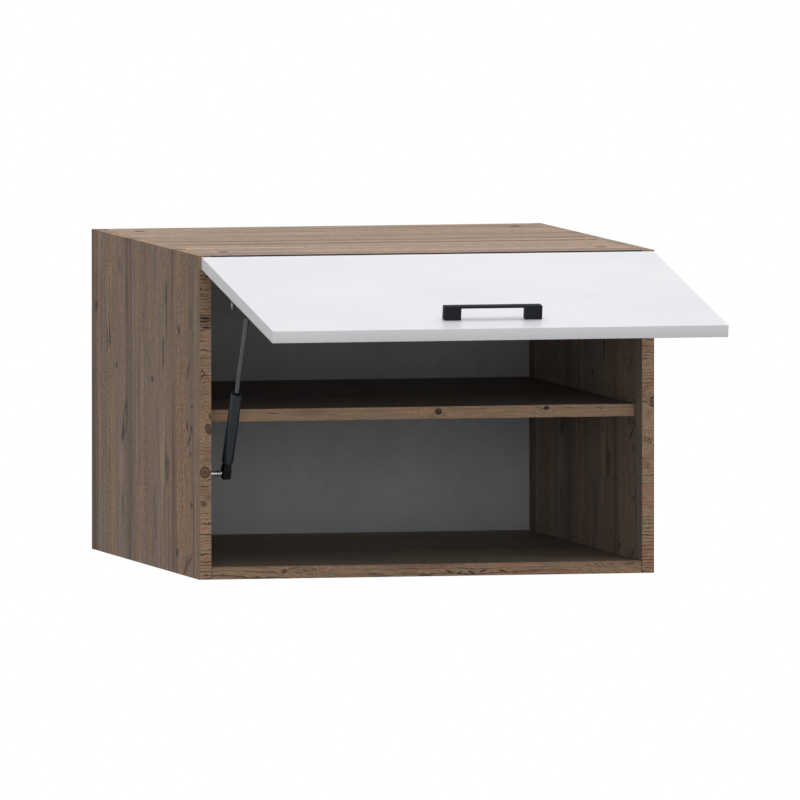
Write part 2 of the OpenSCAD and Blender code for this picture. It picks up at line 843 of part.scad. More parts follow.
// Two cheeks in the cup hold the ends of the hinge pin
module hinge_cup(side) {
    color("silver")
    on_door() on_side(side) difference() {
        union() {
            cup_shell();
            intersection() {
                translate([hinge_x, cup_floor, cup_z]) bar_y(cup_d, cup_depth);
                for (s = [-1, 1]) {
                    x = hinge_x + s * (cheek_in + cheek_t / 2);
                    block([x - cheek_t / 2, cup_floor, hinge_z - cheek_l],
                          [x + cheek_t / 2, door_in, cup_z + cup_d / 2]);
                }
            }
        }
        translate([hinge_x - cheek_in - cheek_t, hinge_y, hinge_z])
            bar_x(hinge_pin_d + 2 * running_gap, 2 * (cheek_in + cheek_t));
        at_cup_screws() wood_screw_hole();
    }
}

module hinge_pins() {
    color("gainsboro")
    on_door() for (side = [-1, 1]) on_side(side)
        translate([hinge_x - pin_half, hinge_y, hinge_z]) bar_x(hinge_pin_d, 2 * pin_half);
}

module hinge_cup_screws() {
    color("gainsboro")
    on_door() for (side = [-1, 1]) on_side(side) at_cup_screws() wood_screw();
}

// An angle: the foot lies on the door, and the flange carries the upper ball stud
module strut_head_bracket() {
    foot_low = head_shut[1] - head_foot_l / 2;
    foot_high = head_shut[1] + head_foot_l / 2;
    color("#2a2b2d")
    on_door() difference() {
        union() {
            block([flange_x, door_in, foot_low], [flange_x + head_foot_w, door_in + head_foot_t, foot_high]);
            plate_x(flange_x, strut_plate_t) {
                translate(head_shut) circle(r = flange_r);
                polygon([
                    [door_in, foot_low], [door_in + head_foot_t, foot_low],
                    [head_shut[0], head_shut[1] - flange_r], [head_shut[0], head_shut[1] + flange_r],
                    [door_in + head_foot_t, foot_high], [door_in, foot_high]
                ]);
            }
        }
        at_head_screws() wood_screw_hole();
        translate([flange_x - 1, head_shut[0], head_shut[1]])
            bar_x(stud_d + 2 * fit_gap, strut_plate_t + 2);
    }
}

// The stud ends just short of the neck of the captive ball
module strut_head_stud() {
    color("gainsboro")
    on_door() translate([0, head_shut[0], head_shut[1]]) union() {
        translate([flange_x - stud_rivet_t, 0, 0]) bar_x(stud_rivet_d, stud_rivet_t);
        translate([flange_x - stud_rivet_t, 0, 0]) bar_x(stud_d, collar_x - flange_x + stud_rivet_t);
        translate([collar_x, 0, 0]) bar_x(collar_d, collar_l);
        translate([collar_x, 0, 0])
            bar_x(ball_neck_d, strut_x - socket_w / 2 - loop_gap - collar_x);
    }
}

module strut_head_screws() {
    color("gainsboro") on_door() at_head_screws() wood_screw();
}

module strut_tube() {
    r = tube_d / 2;
    in_r = tube_in_d / 2;
    color("#303237")
    on_strut() union() {
        rotate_extrude() polygon([
            [0, socket_reach], [r - 1, socket_reach], [r, socket_reach + 1],
            [r, tube_top - 1], [r - 1, tube_top], [rod_d / 2 + tube_lip_gap, tube_top],
            [rod_d / 2 + tube_lip_gap, tube_top - tube_lip_t], [in_r, tube_top - tube_lip_t],
            [in_r, socket_reach + tube_end_t], [0, socket_reach + tube_end_t]
        ]);
        translate([0, 0, socket_reach - end_stud_l])
            cylinder(d = end_stud_d, h = end_stud_l + tube_end_t / 2);
    }
}

// The socket round a ball: two outlines cut to each other, with the ball's seat and mouth
module ball_socket() {
    half_w = socket_w / 2;
    half_d = socket_depth / 2;
    neck_r = socket_neck_d / 2;
    difference() {
        intersection() {
            rotate([90, 0, 0]) translate([0, 0, -half_d]) linear_extrude(socket_depth) polygon([
                [1.5 - half_w, -socket_tail], [half_w - 1.5, -socket_tail],
                [half_w, 1.5 - socket_tail], [half_w, socket_shoulder],
                [neck_r, socket_reach], [-neck_r, socket_reach],
                [-half_w, socket_shoulder], [-half_w, 1.5 - socket_tail]
            ]);
            plate_x(-half_w, socket_w) polygon([
                [1.5 - half_d, -socket_tail], [half_d - 1.5, -socket_tail],
                [half_d, 1.5 - socket_tail], [half_d, socket_shoulder],
                [neck_r, socket_reach], [-neck_r, socket_reach],
                [-half_d, socket_shoulder], [-half_d, 1.5 - socket_tail]
            ]);
        }
        sphere(d = ball_d + 2 * ball_gap);
        translate([-socket_w, 0, 0]) bar_x(mouth_d, socket_w);
        translate([0, 0, socket_reach - end_stud_l - fit_gap])
            cylinder(d = end_stud_d + 2 * fit_gap, h = end_stud_l + 1);
        for (s = [-1, 1], z = [0.6, 4.6])
            translate([-socket_w, s * half_d - socket_groove, z])
                cube([2 * socket_w, 2 * socket_groove, 0.9]);
    }
}

module strut_foot_socket() {
    color("#101010") on_strut() ball_socket();
}

module strut_rod_guide() {
    color("#3a3a3a")
    on_strut() translate([0, 0, guide_z]) difference() {
        cylinder(d = tube_in_d - 2 * fit_gap, h = guide_len);
        translate([0, 0, -1]) cylinder(d = rod_d + 2 * running_gap, h = guide_len + 2);
    }
}

module strut_rod_seal() {
    color("#181818")
    on_strut() translate([0, 0, seal_z]) difference() {
        cylinder(d = tube_in_d - 2 * fit_gap, h = seal_t);
        translate([0, 0, -1]) cylinder(d = rod_d + 2 * running_gap, h = seal_t + 2);
    }
}

module strut_rod() {
    color("#8c8c8e")
    on_strut() union() {
        translate([0, 0, piston_z]) cylinder(d = rod_d - 2, h = piston_t + 1);
        translate([0, 0, piston_z + piston_t])
            cylinder(d = rod_d, h = open_len - socket_reach - piston_z - piston_t);
        translate([0, 0, open_len - socket_reach - 1]) cylinder(d = end_stud_d, h = end_stud_l + 1);
    }
}

module strut_piston() {
    color("goldenrod")
    on_strut() translate([0, 0, piston_z]) difference() {
        cylinder(d = tube_in_d - 0.3, h = piston_t);
        translate([0, 0, -1]) cylinder(d = rod_d - 2 + 2 * fit_gap, h = piston_t + 2);
        translate([0, 0, piston_t / 2 - 0.5]) difference() {
            cylinder(d = tube_in_d + 1, h = 1);
            translate([0, 0, -1]) cylinder(d = tube_in_d - 2, h = 3);
        }
    }
}

module strut_head_socket() {
    color("#101010") on_strut_head() ball_socket();
}

// The captive ball with the neck that reaches to the socket's side
module strut_head_ball() {
    color("gainsboro")
    on_strut_head() union() {
        sphere(d = ball_d);
        translate([-socket_w / 2, 0, 0]) bar_x(ball_neck_d, socket_w / 2);
    }
}

side_panel(-1);  // side_panel_left
side_panel(1);  // side_panel_right
top_panel();
bottom_panel();
back_panel();
shelf();
side_edging(-1);  // side_edging_left
side_edging(1);  // side_edging_right
cross_edging(1);  // top_edging
cross_edging(-1);  // bottom_edging
shelf_edging();
shelf_pins();
cam_locks();
cam_bolts();
dowels();
back_nails();
wall_bracket(-1);  // wall_bracket_left
wall_bracket(1);  // wall_bracket_right
wall_bracket_screws();
hinge_plate(-1);  // hinge_plate_left
hinge_plate(1);  // hinge_plate_right
hinge_plate_screws();
hinge_arm(-1);  // hinge_arm_left
hinge_arm(1);  // hinge_arm_right
hinge_arm_screws();
strut_foot_plate();
strut_foot_stud();
strut_foot_screws();
door_panel();
door_edging();
door_bumpers();
handle();
handle_screws();
hinge_cup(-1);  // hinge_cup_left
hinge_cup(1);  // hinge_cup_right
hinge_pins();
hinge_cup_screws();
strut_head_bracket();
strut_head_stud();
strut_head_screws();
strut_tube();
strut_foot_socket();
strut_rod_guide();
strut_rod_seal();
strut_rod();
strut_piston();
strut_head_socket();
strut_head_ball();
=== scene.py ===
import math

import bmesh
import bpy
from mathutils import Matrix, Vector


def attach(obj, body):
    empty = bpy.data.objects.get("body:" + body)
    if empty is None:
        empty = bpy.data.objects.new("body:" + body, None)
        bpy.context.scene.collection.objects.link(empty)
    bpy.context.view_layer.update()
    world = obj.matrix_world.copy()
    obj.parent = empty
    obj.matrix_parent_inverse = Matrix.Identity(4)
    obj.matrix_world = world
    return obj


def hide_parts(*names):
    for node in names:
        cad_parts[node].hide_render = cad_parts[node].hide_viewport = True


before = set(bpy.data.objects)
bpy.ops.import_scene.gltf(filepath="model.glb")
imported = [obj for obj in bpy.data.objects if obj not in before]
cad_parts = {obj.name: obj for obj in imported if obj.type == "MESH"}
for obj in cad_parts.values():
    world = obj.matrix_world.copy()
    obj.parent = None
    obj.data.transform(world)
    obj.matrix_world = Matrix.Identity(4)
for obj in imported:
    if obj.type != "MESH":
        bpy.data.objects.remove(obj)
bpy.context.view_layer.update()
mm = 0.001
print("frame loaded:", len(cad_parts), "nodes")


def tint(red, green, blue):  # a screen colour, 0 to 255, as Blender's linear colour
    def linear(value):
        value /= 255
        return value / 12.92 if value <= 0.04045 else ((value + 0.055) / 1.055) ** 2.4
    return (linear(red), linear(green), linear(blue), 1)


class Nodes:
    def __init__(self, tree):
        self.tree = tree

    def put(self, socket, value):
        if isinstance(value, bpy.types.NodeSocket):
            self.tree.links.new(value, socket)
        else:
            socket.default_value = value

    def add(self, kind, settings=None, **inputs):
        node = self.tree.nodes.new(kind)
        for key, value in (settings or {}).items():
            setattr(node, key, value)
        for key, value in inputs.items():
            self.put(node.inputs[key.replace("_", " ")], value)
        return node

    def math(self, operation, first, second=0.0, clamp=False):
        node = self.add("ShaderNodeMath", {"operation": operation, "use_clamp": clamp})
        self.put(node.inputs[0], first)
        self.put(node.inputs[1], second)
        return node.outputs[0]

    def vector(self, operation, first, second=None, scale=None):
        node = self.add("ShaderNodeVectorMath", {"operation": operation})
        self.put(node.inputs[0], first)
        if second is not None:
            self.put(node.inputs[1], second)
        if scale is not None:
            self.put(node.inputs["Scale"], scale)
        return node.outputs["Value" if operation in ("LENGTH", "DOT_PRODUCT") else "Vector"]

    def split(self, vector):
        return self.add("ShaderNodeSeparateXYZ", Vector=vector).outputs

    def join(self, x, y, z=0.0):
        return self.add("ShaderNodeCombineXYZ", X=x, Y=y, Z=z).outputs[0]

    def ease(self, value, low, high, toLow=0.0, toHigh=1.0):
        node = self.add("ShaderNodeMapRange", {"interpolation_type": "SMOOTHSTEP"})
        for socket, v in zip(node.inputs, (value, low, high, toLow, toHigh)):
            self.put(socket, v)
        return node.outputs[0]

    def mix(self, factor, first, second, blend="MIX"):
        node = self.add("ShaderNodeMix", {"data_type": "RGBA", "blend_type": blend})
        self.put(node.inputs[0], factor)
        self.put(node.inputs[6], first)
        self.put(node.inputs[7], second)
        return node.outputs[2]

    def blend(self, factor, first, second):
        node = self.add("ShaderNodeMix", {"data_type": "FLOAT"})
        self.put(node.inputs[0], factor)
        self.put(node.inputs[2], first)
        self.put(node.inputs[3], second)
        return node.outputs[0]

    def noise(self, place, scales=(1, 1, 1), detail=2.0, roughness=0.5, distortion=0.0, colour=False):
        stretched = self.vector("MULTIPLY", place, scales)
        node = self.add("ShaderNodeTexNoise", Vector=stretched, Scale=1.0, Detail=detail,
                        Roughness=roughness, Distortion=distortion)
        return node.outputs[1 if colour else 0]

    def ramp(self, value, stops, interpolation="LINEAR"):
        node = self.add("ShaderNodeValToRGB", Fac=value)
        band = node.color_ramp
        band.interpolation = interpolation
        while len(band.elements) < len(stops):
            band.elements.new(0.5)
        for element, (place, colour) in zip(band.elements, stops):
            element.position, element.color = place, colour
        return node.outputs[0]

    def bump(self, height, strength, distance, normal=None):
        node = self.add("ShaderNodeBump", Height=height, Strength=strength, Distance=distance)
        if normal is not None:
            self.put(node.inputs["Normal"], normal)
        return node.outputs[0]


def blank(name, slot, **fixed):
    material = bpy.data.materials.new(name)
    material.use_nodes = True
    material.node_tree.nodes.clear()
    n = Nodes(material.node_tree)
    shader = n.add("ShaderNodeBsdfPrincipled")
    target = n.add("ShaderNodeOutputMaterial")
    n.put(target.inputs["Surface"], shader.outputs[0])
    for key, value in fixed.items():
        shader.inputs[key.replace("_", " ")].default_value = value
    place = n.add("ShaderNodeTexCoord").outputs["Object"]
    return material, n, shader, place


def markGroup():  # one spindle in the grain as a mask: dark all through, or hollow with a dark outline
    group = bpy.data.node_groups.new("grainMark", "ShaderNodeTree")
    for label in ("U", "V", "Centre U", "Centre V", "Half length", "Half width", "Slant", "Ragged", "Hollow"):
        group.interface.new_socket(label, in_out="INPUT", socket_type="NodeSocketFloat")
    group.interface.new_socket("Mask", in_out="OUTPUT", socket_type="NodeSocketFloat")
    n = Nodes(group)
    given = n.add("NodeGroupInput").outputs
    du = n.math("SUBTRACT", given["U"], given["Centre U"])
    dv = n.math("SUBTRACT", given["V"], given["Centre V"])
    dv = n.math("ADD", dv, n.math("MULTIPLY", du, given["Slant"]))
    du = n.math("POWER", n.math("ABSOLUTE", n.math("DIVIDE", du, given["Half length"])), 1.5)
    dv = n.math("POWER", n.math("ABSOLUTE", n.math("DIVIDE", dv, given["Half width"])), 2.0)
    reach = n.math("ADD", n.math("SQRT", n.math("ADD", du, dv)), given["Ragged"])
    heart = n.math("MULTIPLY", n.ease(reach, 0.72, 0.45), given["Hollow"])
    n.put(n.add("NodeGroupOutput").inputs["Mask"], n.math("SUBTRACT", n.ease(reach, 1.05, 0.6), heart))
    return group


def knotGroup():  # growth lines part round a knot, which has a dark rim, rings and a dark core
    group = bpy.data.node_groups.new("grainKnot", "ShaderNodeTree")
    for label in ("S", "T", "Centre S", "Centre T", "Radius S", "Radius T", "Slant", "Ragged"):
        group.interface.new_socket(label, in_out="INPUT", socket_type="NodeSocketFloat")
    for label in ("Part", "Heart", "Dark"):
        group.interface.new_socket(label, in_out="OUTPUT", socket_type="NodeSocketFloat")
    n = Nodes(group)
    given = n.add("NodeGroupInput").outputs
    ds = n.math("SUBTRACT", given["S"], given["Centre S"])
    dt = n.math("SUBTRACT", given["T"], given["Centre T"])
    ds = n.math("DIVIDE", n.math("ADD", ds, n.math("MULTIPLY", dt, given["Slant"])), given["Radius S"])
    dt = n.math("DIVIDE", dt, given["Radius T"])
    square = n.math("ADD", n.math("MULTIPLY", ds, ds), n.math("MULTIPLY", dt, dt))
    part = n.math("MULTIPLY", ds, n.math("EXPONENT", n.math("MULTIPLY", square, -0.24)))
    reach = n.math("ADD", n.math("SQRT", square), n.math("MULTIPLY", given["Ragged"], 0.75))
    rim = n.math("MULTIPLY", n.ease(reach, 1.16, 0.98), n.ease(reach, 0.60, 0.88))
    count = n.math("ADD", n.math("MULTIPLY", reach, 3.1), n.math("MULTIPLY", given["Ragged"], 0.9))
    rings = n.math("MULTIPLY", n.ease(n.math("PINGPONG", count, 1.0), 0.35, 0.8), 0.55)
    core = n.ease(n.math("ADD", reach, n.math("MULTIPLY", ds, 0.35)), 0.40, 0.12, 0.0, 0.85)
    dark = n.math("MAXIMUM", n.math("MAXIMUM", rim, core), n.math("MULTIPLY", rings, n.ease(reach, 1.0, 0.85)))
    target = n.add("NodeGroupOutput").inputs
    n.put(target["Part"], part)
    n.put(target["Heart"], n.ease(reach, 1.1, 0.9))
    n.put(target["Dark"], dark)
    return group


oakMark, oakKnot = markGroup(), knotGroup()

oak = {
    # lamella tones of the decor, as screen colours
    "tones": [(0.00, (104, 82, 68)), (0.14, (134, 110, 92)), (0.28, (164, 134, 108)), (0.40, (138, 123, 108)),
              (0.52, (172, 142, 113)), (0.64, (144, 130, 116)), (0.76, (180, 145, 120)), (0.88, (152, 122, 98)),
              (1.00, (194, 166, 138))],
    "lamellas": 30,  # a metre
    "veinColour": (84, 66, 56),
    "crackColour": (36, 31, 33),
    "paleColour": (194, 168, 140),
    # the muted colour that the faces inside the cabinet are mixed towards: painted shade
    "shadeCalm": 0.45,
    "shadeCalmColour": (128, 108, 92),
    "tickedBands": [(0.312, 0.021), (0.560, 0.016)],  # from the front edge backwards, half width
    # height, place from the front edge backwards, half length, half width, slant, hollow, strength
    "cracks": [(0.149, 0.192, 0.017, 0.0080, 0.1, 0.5, 1.00), (0.120, 0.190, 0.060, 0.0035, 0.05, 0, 0.75),
               (0.106, 0.117, 0.009, 0.0066, 0, 0, 1.00), (0.076, 0.520, 0.020, 0.0058, -0.1, 0, 0.92),
               (0.070, 0.535, 0.026, 0.0043, -0.1, 0, 0.69), (0.072, 0.208, 0.030, 0.0061, 0, 0, 0.86),
               (0.034, 0.272, 0.006, 0.0072, 0, 0, 1.00), (0.040, 0.480, 0.005, 0.0072, 0, 0, 0.80),
               (-0.028, 0.430, 0.034, 0.0150, 0.32, 0.75, 0.98), (-0.044, 0.444, 0.022, 0.0058, 0.35, 0, 0.86),
               (-0.078, 0.183, 0.022, 0.0095, 0.05, 0.45, 1.00), (-0.060, 0.190, 0.050, 0.0032, 0, 0, 0.69),
               (-0.032, 0.058, 0.013, 0.0058, 1.2, 0, 0.98), (0.012, 0.042, 0.003, 0.0072, 0, 0, 1.00),
               (-0.014, 0.070, 0.010, 0.0060, -0.3, 0, 0.92), (-0.018, 0.044, 0.008, 0.0060, -0.5, 0, 0.98),
               (-0.050, 0.050, 0.006, 0.0060, 0.6, 0, 0.80), (-0.181, 0.126, 0.007, 0.0072, 0, 0, 1.00),
               (-0.196, 0.075, 0.014, 0.0060, 1.1, 0, 0.92), (-0.186, 0.052, 0.010, 0.0058, 1.2, 0, 0.80),
               (0.110, 0.600, 0.010, 0.0080, 0, 0, 0.98), (-0.140, 0.442, 0.030, 0.0058, -0.1, 0, 0.63),
               (0.170, 0.462, 0.014, 0.0058, 0, 0, 0.57), (0.060, 0.060, 0.016, 0.0058, 0.9, 0, 0.69),
               (-0.115, 0.044, 0.006, 0.0072, 0, 0, 0.92), (-0.150, 0.250, 0.040, 0.0032, 0, 0, 0.57),
               (0.010, 0.350, 0.080, 0.0032, 0.05, 0, 0.52), (0.130, 0.420, 0.050, 0.0032, 0, 0, 0.52)],
    "pale": [(-0.074, 0.212, 0.040, 0.0140, 0.0, 0, 0.75), (-0.085, 0.450, 0.050, 0.0120, 0.1, 0, 0.45),
             (0.030, 0.330, 0.060, 0.0120, 0.0, 0, 0.30), (-0.030, 0.205, 0.030, 0.0090, 0.0, 0, 0.50),
             (0.100, 0.205, 0.030, 0.0080, 0.0, 0, 0.30), (-0.120, 0.120, 0.050, 0.0100, 0.0, 0, 0.25)],
}


def oakDecor(name, along, shift=0.0, marked=True, ior=1.22, wide=0.35, deepen=1.0, insideShade=None):
    material, n, shader, place = blank(name, "oak_decor", IOR=ior, Specular_IOR_Level=0.4)
    x, y, z = n.split(place)
    facing = n.add("ShaderNodeNewGeometry").outputs["True Normal"]
    nx, ny, nz = [n.math("GREATER_THAN", n.math("ABSOLUTE", s), 0.5) for s in n.split(facing)]
    if along == "z":
        u, v = n.blend(nz, z, x), n.blend(ny, y, x)
    else:
        u, v = n.blend(nx, x, y), n.blend(ny, y, z)
    back = n.math("ADD", v, 0.63)  # from the front edge backwards
    start = n.math("ADD", back, shift)
    grain = n.join(start, u, shift * 7.3)

    # lamellas drift slowly sideways, and all that lies in them follows
    slow = n.math("SUBTRACT", n.noise(grain, (2.4, 1.5, 1), 2), 0.5)
    quick = n.math("SUBTRACT", n.noise(grain, (18, 11, 1), 2), 0.5)
    across = n.math("ADD", start, n.math("ADD", n.math("MULTIPLY", slow, 0.034), n.math("MULTIPLY", quick, 0.005)))
    flow = n.join(across, u, shift * 7.3)
    cells = n.add("ShaderNodeTexVoronoi", {"voronoi_dimensions": "1D"},
                  W=n.math("MULTIPLY", across, oak["lamellas"]), Scale=1.0).outputs["Color"]
    toneA, toneB, toneC = n.add("ShaderNodeSeparateColor", Color=cells).outputs[:3]
    band = n.noise(flow, (62, 1.3, 1), 4, 0.66)
    tone = n.math("ADD", n.math("MULTIPLY", toneA, 0.85), n.math("MULTIPLY", band, 1.5))
    colour = n.ramp(n.math("SUBTRACT", tone, 0.675), [(p, tint(*c)) for p, c in oak["tones"]])
    sweep = n.noise(flow, (11, 1.2, 1), 3, 0.6)
    rosy = n.mix(n.ease(sweep, 0.42, 0.62), (0.97, 1.0, 1.02, 1), (1.04, 0.99, 0.97, 1))
    cool = n.mix(n.ease(toneC, 0.3, 0.7), (0.96, 0.97, 1.05, 1), (1.03, 1.01, 0.92, 1))
    colour = n.mix(1.0, n.mix(1.0, colour, rosy, "MULTIPLY"), cool, "MULTIPLY")

    # streaks, short flecks, fibres, veins, and the cross ticks and pores that only some lamellas have
    streak = n.noise(flow, (240, 6, 1), 4, 0.7)
    fleck = n.noise(flow, (210, 110, 1), 3, 0.72)
    fibre = n.noise(grain, (900, 26, 1), 3, 0.6)
    light = n.math("ADD", 1.0, n.math("MULTIPLY", n.math("SUBTRACT", sweep, 0.5), wide))
    for part, weight in ((streak, 1.1), (fleck, 1.5), (fibre, 0.6), (toneB, 0.20)):
        light = n.math("ADD", light, n.math("MULTIPLY", n.math("SUBTRACT", part, 0.5), weight))
    colour = n.vector("SCALE", colour, scale=n.math("MULTIPLY", light, deepen))
    dash = n.noise(flow, (150, 50, 1), 3, 0.78)
    colour = n.mix(n.ease(dash, 0.42, 0.30, 0.0, 0.75), colour, tint(*oak["veinColour"]))
    line = n.noise(flow, (95, 5.0, 1), 4, 0.75)
    colour = n.mix(n.ease(line, 0.41, 0.31, 0.0, 0.40), colour, tint(*oak["veinColour"]))
    colour = n.mix(n.ease(line, 0.57, 0.68, 0.0, 0.50), colour, tint(*oak["paleColour"]))
    vein = n.noise(flow, (52, 2.2, 1), 3, 0.6, 0.25)
    vein = n.ease(n.math("ABSOLUTE", n.math("SUBTRACT", vein, 0.5)), 0.022, 0.002)
    vein = n.math("MULTIPLY", vein, n.ease(n.noise(flow, (16, 4, 1), 2), 0.44, 0.66))
    colour = n.mix(n.math("MULTIPLY", vein, 0.8), colour, tint(*oak["veinColour"]))
    tick = n.ease(n.noise(flow, (90, 340, 1), 2, 0.55), 0.48, 0.60)
    ticked = n.ease(toneC, 0.84, 0.94)
    if marked:
        for middle, half in oak["tickedBands"]:
            aside = n.math("ABSOLUTE", n.math("SUBTRACT", across, middle))
            ticked = n.math("MAXIMUM", ticked, n.ease(aside, half, half * 0.8))
    tick = n.math("MULTIPLY", tick, ticked)
    colour = n.mix(n.math("MULTIPLY", tick, 0.45), colour, tint(*oak["veinColour"]))
    pore = n.ease(n.noise(grain, (620, 170, 1), 2, 0.7), 0.56, 0.68)
    pore = n.math("MULTIPLY", pore, n.ease(toneB, 0.45, 0.85, 0.2, 0.7))
    colour = n.mix(n.math("MULTIPLY", pore, 0.5), colour, tint(*oak["veinColour"]))

    # short random checks, then the larger marks in their places
    cellsB = n.add("ShaderNodeTexVoronoi", Vector=n.vector("MULTIPLY", flow, (40, 9, 1)), Scale=1.0)
    chance = n.split(cellsB.outputs["Color"])[0]
    near = n.math("SUBTRACT", 1.0, n.math("MULTIPLY", cellsB.outputs["Distance"], 3.8))
    check = n.math("MULTIPLY", n.ease(near, 0.0, 0.8), n.ease(chance, 0.86, 0.93))
    ragged = n.math("MULTIPLY", n.math("SUBTRACT", n.noise(flow, (380, 110, 1), 3, 0.7), 0.5), 1.7)
    colour = n.mix(n.math("MULTIPLY", check, 0.5), colour, tint(*oak["crackColour"]))
    deep = n.math("MAXIMUM", check, n.math("MULTIPLY", vein, 0.5))
    if marked:
        for key, paint in (("pale", "paleColour"), ("cracks", "crackColour")):
            for cu, cv, length, width, slant, hollow, strength in oak[key]:
                spot = n.add("ShaderNodeGroup", {"node_tree": oakMark}, U=u, V=back, Centre_U=cu, Centre_V=cv,
                             Half_length=length, Half_width=width, Slant=slant, Ragged=ragged,
                             Hollow=hollow).outputs[0]
                colour = n.mix(n.math("MULTIPLY", spot, strength), colour, tint(*oak[paint]))
                if key == "cracks":
                    deep = n.math("MAXIMUM", deep, spot)

    if insideShade:  # painted shade: the faces inside the cabinet are muted and cooled towards the colour they take in the cabinet's shade
        side = {"x": n.math("ABSOLUTE", x), "z": z}[insideShade["axis"]]
        within = n.ease(side, *insideShade["edge"])
        shadeCalm = n.mix(oak["shadeCalm"], colour, tint(*oak["shadeCalmColour"]))
        colour = n.mix(within, colour, n.mix(1.0, shadeCalm, insideShade["tint"], "MULTIPLY"))
    n.put(shader.inputs["Base Color"], colour)
    n.put(shader.inputs["Roughness"], n.ease(streak, 0.3, 0.7, 0.66, 0.54))
    height = n.math("ADD", n.math("MULTIPLY", fibre, 0.5), n.math("MULTIPLY", streak, 0.4))
    height = n.math("SUBTRACT", height, n.math("ADD", n.math("MULTIPLY", pore, 0.6), deep))
    n.put(shader.inputs["Normal"], n.bump(height, 0.35, 0.00025))
    return material


edging = {
    "tones": [(0.0, (120, 96, 78)), (0.25, (150, 122, 98)), (0.42, (172, 140, 112)), (0.55, (156, 134, 108)),
              (0.7, (178, 140, 114)), (0.85, (160, 122, 98)), (1.0, (196, 164, 134))],
    "lineColour": (44, 29, 21),
    "redColour": (152, 106, 82),
    "knotColour": (112, 80, 58),
    "knotDark": (32, 22, 18),
    "seamColour": (46, 36, 30),
}


